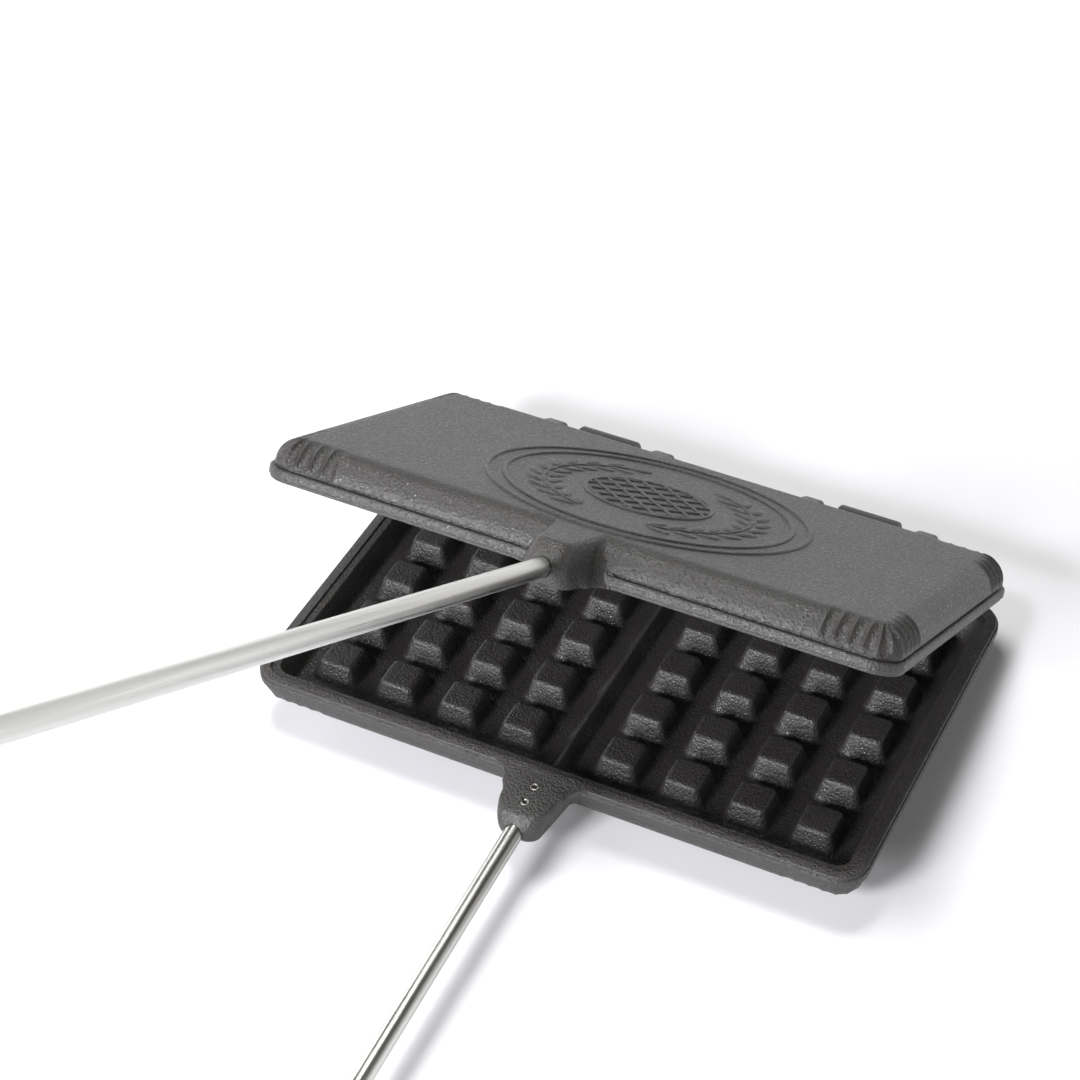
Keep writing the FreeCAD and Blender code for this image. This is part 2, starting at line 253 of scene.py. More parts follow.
@dataclass(frozen=True)
class HandleSizes:
    """Sizes of a rod, its spring pins and its grip, in millimetres.

    The pins' rim gives heights below the meeting face and how much the wall is drawn in there.
    """

    rod: float = 6.35
    rod_bevel: float = 0.4
    rod_rings: int = 40
    rod_sides: int = 56
    spread: float = 3.9
    axis_drop: float = 6.3
    socket_depth: float = 23.0
    socket_clearance: float = 0.05
    end_gap: float = 0.3
    exposed: float = 365.0
    pin: float = 3.0
    pin_wall: float = 0.62
    pin_slot: float = 0.6
    pin_reach: float = 4.6
    pin_spacing: float = 7.1
    pin_recess: float = 0.4
    pin_length: float = 11.0
    pin_rim: tuple[tuple[float, float], ...] = ((-0.10, 0.28), (-0.14, 0.16), (-0.24, 0.05))
    pin_slot_turns: tuple[float, float] = (0.6, 2.4)
    pin_sides: int = 32
    grip_length: float = 160.0
    grip: float = 25.4
    grip_rounding: float = 4.0
    grip_shoulder: float = 0.35
    grip_rings: int = 30
    grip_end_steps: int = 8
    grip_sides: int = 72
    bore_clearance: float = 0.1
    bore_edge: float = 0.3
    ferrule_length: float = 14.0
    ferrule_wall: float = 0.8
    ferrule_room: float = 0.02
    ferrule_mouth: float = 0.25
    ferrule_edge: float = 0.35
    ferrule_bend: float = 0.1
    ferrule_back_edge: tuple[float, float] = (0.3, 0.25)
    groove_at: float = 3.0
    groove_run: float = 0.3
    groove_depth: float = 0.25
    washer: float = 16.0
    washer_thickness: float = 1.5
    washer_edges: tuple[float, float] = (0.2, 0.3)
    washer_sides: int = 64
    nut_flats: float = 11.0
    nut_hex_length: float = 5.5
    nut_foot_edge: float = 0.45
    nut_foot_share: float = 0.955
    nut_top_edge: float = 0.7
    nut_top_share: float = 0.93
    nut_crown_length: float = 4.0
    nut_wall: float = 0.6
    nut_bore: float = 7.0
    nut_sides: int = 48
    crown_steps: int = 7
    crown_tip: float = 0.6
    crown_fullness: float = 0.8


@dataclass(frozen=True)
class HingeSizes:
    """Sizes of the hinge knuckles, ears and pins, in millimetres.

    The edge shares give the way along an arm's rounded edge and its draw-in, both as shares of the
    rounding. The pin's dome gives the same for a pin's end, in millimetres.
    """

    places: tuple[float, float] = (-46.8, 52.2)
    back: float = 11.5
    rise: float = 3.5
    knuckle_width: float = 22.0
    knuckle_radius: float = 7.3
    knuckle_top: float = 3.0
    knuckle_bottom: float = 11.0
    knuckle_root: float = 5.0
    ear_width: float = 7.0
    ear_spacing: float = 42.0
    ear_radius: float = 6.5
    ear_bottom: float = 2.8
    ear_top: float = 11.6
    ear_root: float = 6.0
    pin: float = 5.0
    pin_clearance: float = 0.06
    press_room: float = 0.01
    pin_end: float = 0.8
    pin_dome: tuple[tuple[float, float], ...] = ((0.0, 0.9), (0.2, 0.35), (0.6, 0.0))
    pin_sides: int = 40
    edge_rounding: float = 0.9
    edge_shares: tuple[tuple[float, float], ...] = ((0.0, 1.0), (2 / 15, 0.5), (0.5, 0.13), (1.0, 0.0))
    round_steps: int = 18
    overrun: float = 4.0


@dataclass(frozen=True)
class FrameSizes:
    """Sizes of the two raised rings on the lid, in millimetres.

    The back's shares go from a line's outer edge to its crest: the way out from the middle as a
    share of half the line, and the rise as a share of the height.
    """

    diameter: float = 109.0
    line: float = 1.8
    gap: float = 4.0
    height: float = 0.6
    root: float = 0.5
    forward: float = 3.0
    back_shares: tuple[tuple[float, float], ...] = ((1.0, 0.0), (0.86, 0.55), (0.55, 0.9), (0.0, 1.0))
    segments: int = 180


@dataclass(frozen=True)
class CastingFrame:
    """Carries millimetres in the casting frame to metres in the row frame, for each half."""

    tilt: float
    open_angle: float
    origin: Vector
    plate: PlateSizes
    hinge: HingeSizes

    @classmethod
    def from_frame(cls, frame: dict, plate: PlateSizes, hinge: HingeSizes) -> CastingFrame:
        """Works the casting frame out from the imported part's mount and joint.

        Args:
            plate: Sizes of the castings.
            hinge: Sizes of the hinge.

        Returns:
            The casting frame of this part.
        """
        face = frame["record"]["mounts"][0]
        outward = Vector(face["axis"])
        origin = Vector(face["pos_m"]) - outward * plate.thickness * MILLIMETRE
        tilt = math.atan2(-outward.y, -outward.z)
        closing_travel = frame["joints"][0]["range_deg"][0]
        return cls(tilt, math.radians(-closing_travel), origin, plate, hinge)

    def axis(self) -> Vector:
        """Returns the middle of the hinge axis in the lower casting frame."""
        return Vector((0, self.plate.back + self.hinge.back, self.hinge.rise))

    def swing(self) -> Matrix:
        """Returns the upper half's turn about the hinge axis, in the lower casting frame."""
        turn = Matrix.Rotation(-self.open_angle, 4, "X")
        return Matrix.Translation(self.axis()) @ turn @ Matrix.Translation(-self.axis())

    def matrix(self, half: Half) -> Matrix:
        """Works out where a half's own casting drawing goes.

        Args:
            half: The half that the drawing belongs to.

        Returns:
            The matrix from the drawing to the row frame.
        """
        lower = (Matrix.Translation(self.origin) @ Matrix.Rotation(-self.tilt, 4, "X")
                 @ Matrix.Scale(MILLIMETRE, 4))
        if half is Half.LOWER:
            return lower
        closed = Matrix.Translation((0, 0, self.plate.parting_gap)) @ UPSIDE_DOWN
        return lower @ self.swing() @ closed

    def point(self, place: Vector) -> Vector:
        """Returns a point of the lower casting frame in the row frame, in metres."""
        return self.matrix(Half.LOWER) @ place


def smooth_step(low: float, high: float, value: float) -> float:
    """Returns a share from 0 to 1 that rises smoothly as the value goes from low to high."""
    share = min(max((value - low) / (high - low), 0.0), 1.0)
    return share * share * (3 - 2 * share)


def level(value: float, at: tuple[float, ...], sizes: tuple[float, ...]) -> float:
    """Returns the size at a value, on straight lines between the sizes that are given.

    Args:
        value: Where the size is wanted.
        at: The values at which the sizes are given, in rising order.
        sizes: The size at each of them.

    Returns:
        The size, held at its first and last value beyond the ends.
    """
    for index in range(1, len(at)):
        if value <= at[index]:
            share = max((value - at[index - 1]) / (at[index] - at[index - 1]), 0.0)
            return sizes[index - 1] + (sizes[index] - sizes[index - 1]) * share
    return sizes[-1]


def quarter_turns(steps: int) -> list[float]:
    """Returns the turns of a quarter round in equal steps, from 0 to half of pi."""
    return [math.pi / 2 * step / steps for step in range(steps + 1)]


def around(radius: float, turn: float, height: float = 0.0) -> Vector:
    """Returns the point at a radius and a turn about the Z axis."""
    return Vector((radius * math.cos(turn), radius * math.sin(turn), height))


def rounded_path(corners: list[tuple[float, float, float]], steps: int) -> list[tuple[float, float]]:
    """Rounds the corners of a flat path.

    Args:
        corners: Places along the path, each with the radius of its rounding.
        steps: Number of straight pieces in each rounding.

    Returns:
        The points of the rounded path.
    """
    path: list[tuple[float, float]] = []
    last = len(corners) - 1
    for index, (across, up, radius) in enumerate(corners):
        here = Vector((across, up))
        if index in (0, last) or radius == 0:
            path.append((across, up))
            continue
        back = (Vector(corners[index - 1][:2]) - here).normalized()
        ahead = (Vector(corners[index + 1][:2]) - here).normalized()
        half_turn = back.angle(ahead) / 2
        reach = radius / math.tan(half_turn)
        centre = here + (back + ahead).normalized() * radius / math.sin(half_turn)
        start = here + back * reach - centre
        sweep = start.angle_signed(here + ahead * reach - centre)
        for step in range(steps + 1):
            turned = Matrix.Rotation(-sweep * step / steps, 2) @ start
            path.append(tuple(centre + turned))
    return path


def ring_stack(rings: list[Ring], closed: bool = False) -> bmesh.types.BMesh:
    """Skins a stack of rings that all have the same number of points.

    Args:
        rings: The rings in order.
        closed: Whether the last ring joins the first, as in a hoop, instead of being capped.

    Returns:
        A closed mesh whose faces point outwards.
    """
    mesh = bmesh.new()
    place = mesh.verts.layers.int.new("place")
    start = bmesh.ops.create_circle(mesh, cap_ends=False, radius=1.0, segments=len(rings[0]))["verts"]
    for index, vert in enumerate(start):
        vert[place] = index
        vert.co = rings[0][index]
    first_edges = list(mesh.edges)
    edges = first_edges
    for ring in rings[1:]:
        grown = bmesh.ops.extrude_edge_only(mesh, edges=edges)["geom"]
        added = {item for item in grown if isinstance(item, bmesh.types.BMVert)}
        for vert in added:
            vert.co = ring[vert[place]]
        edges = [item for item in grown if isinstance(item, bmesh.types.BMEdge)
                 and item.verts[0] in added and item.verts[1] in added]
    if closed:
        bmesh.ops.bridge_loops(mesh, edges=first_edges + edges)
    else:
        bmesh.ops.contextual_create(mesh, geom=first_edges)
        bmesh.ops.contextual_create(mesh, geom=edges)
    bmesh.ops.recalc_face_normals(mesh, faces=mesh.faces)
    return mesh


def turned(outline: list[tuple[float, float]], segments: int) -> bmesh.types.BMesh:
    """Turns an outline about the Z axis.

    Args:
        outline: Heights and radii, from one end of the piece to the other.
        segments: Number of flat sides round the piece.

    Returns:
        A closed mesh whose faces point outwards.
    """
    mesh = bmesh.new()
    verts = [mesh.verts.new((radius, 0, height)) for height, radius in outline]
    edges = [mesh.edges.new(pair) for pair in zip(verts, verts[1:])]
    bmesh.ops.spin(mesh, geom=verts + edges, cent=(0, 0, 0), axis=(0, 0, 1), angle=math.tau,
                   steps=segments, use_merge=True, use_duplicate=False)
    bmesh.ops.remove_doubles(mesh, verts=mesh.verts, dist=WELD_REACH)
    bmesh.ops.recalc_face_normals(mesh, faces=mesh.faces)
    return mesh


def add_copy(target: bmesh.types.BMesh, source: bmesh.types.BMesh, matrix: Matrix, slot: int = 0) -> None:
    """Adds a moved copy of one mesh to another.

    Args:
        target: The mesh that grows.
        source: The mesh that is copied.
        matrix: Where the copy goes.
        slot: Material slot of the copy's faces.
    """
    carrier = bpy.data.meshes.new("carrier")
    source.to_mesh(carrier)
    carrier.transform(matrix)
    faces_before = len(target.faces)
    target.from_mesh(carrier)
    bpy.data.meshes.remove(carrier)
    target.verts.ensure_lookup_table()
    target.faces.ensure_lookup_table()
    added = target.faces[faces_before:]
    for face in added:
        face.material_index = slot
    if matrix.determinant() < 0:
        bmesh.ops.recalc_face_normals(target, faces=added)


def move_into(target: bmesh.types.BMesh, source: bmesh.types.BMesh, slot: int = 0,
              matrix: Matrix | None = None) -> None:
    """Adds a mesh to another and frees it.

    Args:
        target: The mesh that grows.
        source: The mesh that goes into it.
        slot: Material slot of its faces.
        matrix: Where it goes, or None to leave it where it is.
    """
    add_copy(target, source, matrix or Matrix.Identity(4), slot)
    source.free()


def cut(body: bmesh.types.BMesh, cutters: list[bmesh.types.BMesh]) -> bmesh.types.BMesh:
    """Cuts closed meshes out of a closed mesh.

    Args:
        body: The mesh that is cut; it is freed.
        cutters: The meshes taken out of it; they are freed.

    Returns:
        The cut mesh.
    """
    piece = mesh_object("cut_body", body)
    tools = bmesh.new()
    for cutter in cutters:
        move_into(tools, cutter)
    tool = mesh_object("cut_tools", tools)
    modifier = piece.modifiers.new("bores", "BOOLEAN")
    modifier.operation = "DIFFERENCE"
    modifier.solver = "EXACT"
    modifier.object = tool
    depsgraph = bpy.context.evaluated_depsgraph_get()
    result = bmesh.new()
    result.from_mesh(bpy.data.meshes.new_from_object(piece.evaluated_get(depsgraph)))
    bpy.data.objects.remove(piece)
    bpy.data.objects.remove(tool)
    return result


def mesh_object(name: str, mesh: bmesh.types.BMesh) -> bpy.types.Object:
    """Makes an object of a mesh and frees the mesh.

    Args:
        name: Name of the object.
        mesh: Its shape.

    Returns:
        The new object, linked to the scene.
    """
    data = bpy.data.meshes.new(name)
    mesh.to_mesh(data)
    mesh.free()
    made = bpy.data.objects.new(name, data)
    bpy.context.scene.collection.objects.link(made)
    return made


@dataclass
class Casting:
    """One cast iron half: shell, studs, divider, boss and hinge parts."""

    half: Half
    place: CastingFrame
    plate: PlateSizes = PlateSizes()
    edge: EdgeSizes = EdgeSizes()
    stud: StudSizes = StudSizes()
    flute: FluteSizes = FluteSizes()
    boss: BossSizes = BossSizes()
    handle: HandleSizes = HandleSizes()
    hinge: HingeSizes = HingeSizes()
    frame: FrameSizes = FrameSizes()

    def corner_samples(self) -> list[tuple[float, float]]:
        """Lists the stations round one corner.

        Returns:
            For each, the distance beyond the corner's arc (minus before it) and the turn in radians.
        """
        step = self.flute.pitch / self.flute.samples
        reach = self.flute.beyond_corner + self.flute.run_out
        count = round(reach * self.flute.samples)
        arc_length = math.pi / 2 * self.plate.dome_edge
        arc_count = round(arc_length / step)
        before = [(-step * index, 0.0) for index in range(count, 0, -1)]
        arc = [(0.0, math.pi / 2 * index / arc_count) for index in range(arc_count + 1)]
        beyond = [(step * index, math.pi / 2) for index in range(1, count + 1)]
        return before + arc + beyond

    def stations(self) -> list[tuple[int, float, float, float]]:
        """Lists the stations round the plate's outline.

        Returns:
            For each, the corner it belongs to, its distance beyond the corner's arc, its turn, and
            its place in flute pitches counted from the start of the arc.
        """
        found = []
        for corner in range(4):
            samples = self.corner_samples()
            for beyond, turn in samples:
                run = turn * self.plate.dome_edge + beyond
                found.append((corner, beyond, turn, run / self.flute.pitch))
            side = self.plate.width if corner % 2 else self.plate.depth
            gap = side - 2 * self.plate.corner - 2 * samples[-1][0]
            spans = max(self.flute.least_spans, round(gap / self.flute.pitch / self.flute.side_pitches))
            for index in range(1, spans):
                found.append((corner, samples[-1][0] + gap * index / spans, math.pi / 2, NO_FLUTE))
        return found

    def outline_ring(self, inset: float, z: float, radius: float, dent: float = 0.0,
                     dent_slope: float = 0.0) -> Ring:
        """Lays one ring of the shell round the plate.

        Args:
            inset: Distance of the ring inside the plate's outline.
            z: Height of the ring.
            radius: Corner radius of the ring.
            dent: Depth of the flutes at this ring.
            dent_slope: Turn of the surface at this ring, from upright (0) to level (half of pi).

        Returns:
            The points of the ring.
        """
        half_x = self.plate.width / 2 - inset - radius
        half_y = self.plate.depth / 2 - inset - radius
        fixed_x = self.plate.width / 2 - self.plate.corner
        fixed_y = self.plate.depth / 2 - self.plate.corner
        ring = []
        for corner, beyond, turn, flutes in self.stations():
            side_x = (1, 1, -1, -1)[corner]
            side_y = (-1, 1, 1, -1)[corner]
            start = corner * math.pi / 2 - math.pi / 2
            outward = around(1.0, start + turn)
            along = Vector((-outward.y, outward.x, 0))
            share = (half_y / fixed_y) if abs(along.y) > abs(along.x) else (half_x / fixed_x)
            point = (Vector((side_x * half_x, side_y * half_y, z)) + outward * radius
                     + along * beyond * (share if beyond else 0.0))
            if dent:
                depth = dent * self.flute_profile(flutes)
                point -= outward * depth * math.cos(dent_slope)
                point.z += depth * math.sin(dent_slope)
            ring.append(point)
        return ring

    def flute_depth(self) -> float:
        """Returns how deep the flutes are cut, which is less on the lower casting."""
        return self.flute.depth * (1.0 if self.half is Half.UPPER else self.flute.lower_share)

    def flute_profile(self, flutes: float) -> float:
        """Works out how far a flute is cut in at a place.

        Args:
            flutes: The place, counted in flute pitches from the start of the corner's arc.

        Returns:
            The share of the full depth.
        """
        half_pitch = 0.5
        last = self.flute.beyond_corner + math.pi / 2 * self.plate.dome_edge / self.flute.pitch
        if not -self.flute.beyond_corner - half_pitch < flutes < last + half_pitch:
            return 0.0
        aside = abs(flutes - round(flutes)) * 2 / self.flute.width_share
        return math.sqrt(1 - aside * aside) if aside < 1 else 0.0

    def outside_profile(self) -> list[tuple[float, float, float, float]]:
        """Lists the shell's outside from the middle of the dome's flat to the rim.

        Returns:
            For each ring, its inset, its height, the depth of its flutes and the surface's turn.
        """
        plate, edge, flute = self.plate, self.edge, self.flute
        radius = plate.dome_edge
        profile = [(plate.dome_inset + radius + run, -plate.thickness, 0.0, 0.0) for run in edge.flat_rings]
        for step in range(edge.dome_steps + 1):
            turn = math.pi / 2 * (1 - step / edge.dome_steps)
            share = turn / (math.pi / 2)
            fade = (smooth_step(0.0, flute.start_share, share)
                    * (1 - smooth_step(flute.fade_from, flute.fade_to, share)))
            profile.append((plate.dome_inset + radius * (1 - math.cos(turn)),
                            -plate.thickness + radius * (1 - math.sin(turn)),
                            self.flute_depth() * fade, turn))
        groove_in = plate.dome_inset + plate.groove
        groove_foot = -plate.flange - plate.groove
        rim = rounded_path([(plate.dome_inset, radius - plate.thickness, 0),
                            (plate.dome_inset, groove_foot, edge.dome_top),
                            (groove_in, groove_foot, edge.groove_corner),
                            (groove_in, -plate.flange, edge.groove_corner),
                            (0, -plate.flange, edge.flange_under),
                            (0, -plate.lip_height, edge.flange_over),
                            (plate.lip_inset, -plate.lip_height, edge.lip_foot),
                            (plate.lip_inset, 0, edge.lip_top),
                            (plate.rim_land, 0, 0)], edge.rim_steps)
        return profile + [(inset, z, 0.0, 0.0) for inset, z in rim[1:-1]]

    def inside_profile(self) -> list[tuple[float, float]]:
        """Lists the shell's inside from the rim to the cavity's floor.

        Returns:
            The inset and the height of each ring.
        """
        plate, edge = self.plate, self.edge
        ledge_in = plate.rim_land + plate.ledge_width
        wall_in = ledge_in + plate.cavity_wall_run
        return rounded_path([(plate.rim_land - edge.land_run, 0, 0),
                             (plate.rim_land, 0, edge.land_edge),
                             (plate.rim_land, -plate.ledge_drop, edge.ledge_foot),
                             (ledge_in, -plate.ledge_drop, edge.ledge_edge),
                             (wall_in + edge.wall_foot_run, -plate.cavity_depth, edge.wall_foot),
                             (wall_in + edge.floor_run, -plate.cavity_depth, 0)], edge.wall_steps)

    def shell(self) -> bmesh.types.BMesh:
        """Builds the shell from the middle of the dome's flat, round the rim, to the cavity's floor.

        Returns:
            The shell as a closed mesh, with its inside in the second material slot.
        """
        plate, edge = self.plate, self.edge
        rings = [self.outline_ring(inset, z, max(plate.corner - inset, edge.least_corner), dent, slope)
                 for inset, z, dent, slope in self.outside_profile()]
        rings += [self.outline_ring(inset, z, max(plate.corner - inset, plate.cavity_corner))
                  for inset, z in self.inside_profile()]
        mesh = ring_stack(rings)
        rim = plate.rim_land - edge.skin_margin
        for face in mesh.faces:
            middle = face.calc_center_median()
            outer = abs(middle.x) > plate.width / 2 - rim or abs(middle.y) > plate.depth / 2 - rim
            lower_side = middle.z < -plate.flange and not self.inside_cavity(middle)
            skin = Skin.OUTSIDE if outer or lower_side else Skin.INSIDE
            face.material_index = skin.value
        return mesh

    def inside_cavity(self, point: Vector) -> bool:
        """Tells whether a point lies in the cavity, off the dome's skin.

        Args:
            point: The point in the casting frame.

        Returns:
            Whether it does.
        """
        plate = self.plate
        reach = plate.rim_land + self.edge.cavity_margin
        return (abs(point.x) < plate.width / 2 - reach and abs(point.y) < plate.depth / 2 - reach
                and point.z > -plate.cavity_depth - self.edge.floor_margin)

    def square_ring(self, half: float, corner: float, z: float) -> Ring:
        """Lays one ring of a stud, a square with round corners.

        Args:
            half: Half the width of the square.
            corner: Radius of its corners.
            z: Height of the ring.

        Returns:
            The points of the ring.
        """
        ring = []
        for quarter in range(4):
            centre = Vector(((half - corner) * (1, -1, -1, 1)[quarter],
                             (half - corner) * (1, 1, -1, -1)[quarter], z))
            for step in range(self.stud.corner_steps + 1):
                turn = math.pi / 2 * (quarter + step / self.stud.corner_steps)
                ring.append(centre + corner * around(1.0, turn))
        return ring

    def one_stud(self) -> bmesh.types.BMesh:
        """Builds a stud with drafted sides, a soft top edge and a wide fillet at its foot.

        Returns:
            The stud as a closed mesh, in the middle of the casting.
        """
        stud = self.stud
        floor = -self.plate.cavity_depth
        half_top = stud.top_width / 2
        half_foot = stud.foot_width / 2
        path = rounded_path([(half_foot + stud.foot_skirt, floor - stud.foot_sunk, 0),
                             (half_foot, floor, stud.foot_rounding),
                             (half_top, -stud.top_drop, stud.top_rounding),
                             (half_top / 2, -stud.top_drop, 0)], stud.side_steps)
        rings = []
        for half, z in path:
            share = (z - floor) / (-stud.top_drop - floor)
            corner = stud.foot_corner + (stud.top_corner - stud.foot_corner) * max(share, 0.0)
            spread = max(half - half_foot, 0.0)
            rings.append(self.square_ring(half, min(corner + spread, half - stud.least_flat), z))
        return ring_stack(rings)

    def add_studs(self, mesh: bmesh.types.BMesh) -> None:
        """Sets every stud of both fields into the cavity.

        Args:
            mesh: The casting that grows.
        """
        stud = self.stud
        one = self.one_stud()
        first_x = stud.middle_gap / 2 + stud.top_width / 2
        first_y = -stud.pitch_y * (stud.rows - 1) / 2
        for side in (-1, 1):
            for column in range(stud.columns_per_side):
                for row in range(stud.rows):
                    spot = Vector((side * (first_x + column * stud.pitch_x),
                                   first_y + row * stud.pitch_y, 0))
                    add_copy(mesh, one, Matrix.Translation(spot), Skin.INSIDE.value)
        one.free()

    def add_divider(self, mesh: bmesh.types.BMesh) -> None:
        """Sets the low ridge between the two fields of studs, flared where it meets the walls.

        Args:
            mesh: The casting that grows.
        """
        stud = self.stud
        floor = -self.plate.cavity_depth
        half_base = stud.divider_base / 2
        half_crest = stud.divider_crest / 2
        skirt = half_base + stud.divider_skirt
        root = floor - stud.divider_root
        reach = self.plate.depth / 2 - self.plate.rim_land - self.plate.ledge_width - stud.divider_end_gap
        flare = [(run - reach, rise) for run, rise in stud.divider_flare]
        flare += [(-y, rise) for y, rise in reversed(flare)]
        rings = []
        for y, rise in flare:
            crest = rise - stud.divider_drop
            right = rounded_path([(skirt, floor - stud.divider_sunk, 0),
                                  (half_base, floor, stud.divider_foot_rounding),
                                  (half_crest, crest, stud.divider_crest_rounding),
                                  (0, crest + stud.divider_crown, 0)], stud.divider_steps)
            left = [(-x, z) for x, z in reversed(right[:-1])]
            rings.append([Vector((x, y, z)) for x, z in right + left + [(-skirt, root), (skirt, root)]])
        move_into(mesh, ring_stack(rings), Skin.INSIDE.value)

    def shell_inset(self, drop: float) -> float:
        """Works out where the shell's outside stands at a level.

        Args:
            drop: How far the level lies below the meeting face.

        Returns:
            How far the outside lies in from the plate's outline.
        """
        plate = self.plate
        rise = (plate.thickness - drop) / plate.dome_edge
        if rise >= 1:
            return plate.dome_inset if drop > plate.flange else plate.lip_inset
        return plate.dome_inset + plate.dome_edge * (1 - math.sqrt(1 - (1 - rise) ** 2))

    def boss_ring(self, drop: float, inset: float = 0.0) -> Ring:
        """Lays one level ring of the boss.

        Args:
            drop: How far the ring lies below the meeting face.
            inset: How far the ring is drawn in, for a rounded edge.

        Returns:
            The points of the ring.
        """
        boss = self.boss
        front = self.plate.front
        z = -drop - boss.sunk
        share = drop / boss.drops[-1]
        half_root = level(share, (0.0, 1.0), boss.root_widths) / 2 - inset
        half_nose = level(share, (0.0, 1.0), boss.nose_widths) / 2 - inset
        web = level(share, (0.0, 1.0), boss.webs)
        across = level(drop, boss.drops, boss.corners_across)
        along = level(drop, boss.drops, boss.corners_along)
        nose = front - self.nose_reach(drop) + inset
        base = front + self.shell_inset(drop) + boss.shell_overlap
        right = [Vector((half_root + web, base + boss.root_depth, z)), Vector((half_root + web, base, z))]
        centre = Vector((half_root + web, base - web, z))
        for step in range(1, boss.web_steps + 1):
            right.append(centre + web * around(1.0, math.pi / 2 * (1 + step / boss.web_steps)))
        shoulder = Vector((half_nose, nose + along, z))
        start = right[-1]
        right += [start.lerp(shoulder, step / boss.flank_steps) for step in range(1, boss.flank_steps)]
        for turn in quarter_turns(boss.nose_steps):
            right.append(shoulder + Vector((across * (math.cos(turn) - 1), -along * math.sin(turn), 0)))
        left = [Vector((-point.x, point.y, point.z)) for point in reversed(right)]
        return right + left

    def nose_reach(self, drop: float) -> float:
        """Works out how far the nose stands out beyond the plate's front edge.

        Its round levels lie on a parabola, and the rest on straight lines.

        Args:
            drop: How far the level lies below the meeting face.

        Returns:
            The distance beyond the edge.
        """
        boss = self.boss
        last = boss.round_levels - 1
        if drop > boss.drops[last]:
            return level(drop, boss.drops[last:], boss.reaches[last:])
        points = list(zip(boss.reaches, boss.drops))[:boss.round_levels]
        return sum(reach * math.prod((drop - other) / (at - other) for _, other in points if other != at)
                   for reach, at in points)

    def rod_line(self, distance: float) -> Vector:
        """Returns a point on the rod's axis, counted outwards from the mouth of its socket."""
        mouth = Vector((0, self.plate.front - self.boss.length, -self.handle.axis_drop))
        return mouth + self.rod_direction() * distance

    def rod_direction(self) -> Vector:
        """Returns the rod's direction, away from the plate."""
        spread = math.radians(self.handle.spread)
        return Vector((0, -math.cos(spread), -math.sin(spread)))

    def bar(self, radius: float, start: Vector, end: Vector, sides: int = CUTTER_SIDES) -> bmesh.types.BMesh:
        """Builds a plain round bar between two points, as a cutter.

        Args:
            radius: Radius of the bar.
            start: Middle of its one end.
            end: Middle of its other end.
            sides: Number of flat sides round the bar.

        Returns:
            The bar as a closed mesh.
        """
        run = end - start
        bar = turned([(0, 0), (0, radius), (run.length, radius), (run.length, 0)], sides)
        turn = run.to_track_quat("Z", "Y").to_matrix().to_4x4()
        bmesh.ops.transform(bar, matrix=Matrix.Translation(start) @ turn, verts=bar.verts)
        return bar

    def pin_places(self) -> list[float]:
        """Returns the places of the two spring pins along Y."""
        first = self.plate.front - self.handle.pin_reach
        return [first, first - self.handle.pin_spacing]

    def add_boss(self, mesh: bmesh.types.BMesh) -> None:
        """Adds the boss with its socket and its two blind pin bores.

        Args:
            mesh: The casting that grows.
        """
        boss, handle = self.boss, self.handle
        face, outer = boss.face_rounding, boss.outer_rounding
        low = boss.drops[-1] - outer
        turns = quarter_turns(boss.rounding_steps)
        rings = [self.boss_ring(face * (1 - math.sin(turn)), face * (1 - math.cos(turn)))
                 for turn in reversed(turns)]
        rings += [self.boss_ring(face + (low - face) * step / boss.side_steps)
                  for step in range(1, boss.side_steps + 1)]
        rings += [self.boss_ring(low + outer * math.sin(turn), outer * (1 - math.cos(turn)))
                  for turn in turns[1:]]
        socket = self.bar(handle.rod / 2 + handle.socket_clearance + boss.socket_facet_room,
                          self.rod_line(-handle.socket_depth), self.rod_line(boss.socket_overrun))
        bottom = -handle.pin_recess - handle.pin_length
        bores = [self.bar(handle.pin / 2 + boss.bore_facet_room, Vector((0, y, boss.bore_overrun)),
                          Vector((0, y, bottom)), boss.bore_sides)
                 for y in self.pin_places()]
        move_into(mesh, cut(ring_stack(rings), [socket] + bores), Skin.OUTSIDE.value)

    def tangent_turn(self, root: Vector, reach: float, side: int) -> float:
        """Works out where an arm's straight flank meets its round.

        Args:
            root: Place of the flank's root in Y and Z.
            reach: Radius of the round about the hinge axis.
            side: -1 for the upper flank, 1 for the lower one.

        Returns:
            The turn of that place about the hinge axis, in radians.
        """
        away = root - self.place.axis().yz
        return math.atan2(away.y, away.x) + side * math.acos(reach / away.length)

    def lug(self, x_low: float, x_high: float, low: tuple[float, float], high: tuple[float, float],
            radius: float) -> bmesh.types.BMesh:
        """Builds an arm that wraps round the hinge axis, with soft ends.

        Args:
            x_low: Start of the arm along X.
            x_high: End of the arm along X.
            low: Place of its lower root in Y and Z.
            high: Place of its upper root in Y and Z.
            radius: Outer radius round the hinge axis.

        Returns:
            The arm as a closed mesh.
        """
        hinge = self.hinge
        edge = hinge.edge_rounding
        sides = [(x_low + edge * run, edge * inset) for run, inset in hinge.edge_shares]
        sides += [(x_high - edge * run, edge * inset) for run, inset in reversed(hinge.edge_shares)]
        rings = []
        for x, inset in sides:
            reach = radius - inset
            top = Vector((high[0], high[1] - inset))
            bottom = Vector((low[0], low[1] + inset))
            start = self.tangent_turn(top, reach, -1)
            end = self.tangent_turn(bottom, reach, 1)
            while end > start:
                end -= math.tau
            turns = [start + (end - start) * step / hinge.round_steps
                     for step in range(hinge.round_steps + 1)]
            arc = [self.place.axis().yz + reach * around(1.0, turn).xy for turn in turns]
            rings.append([Vector((x, point.x, point.y)) for point in [top] + arc + [bottom]])
        return ring_stack(rings)

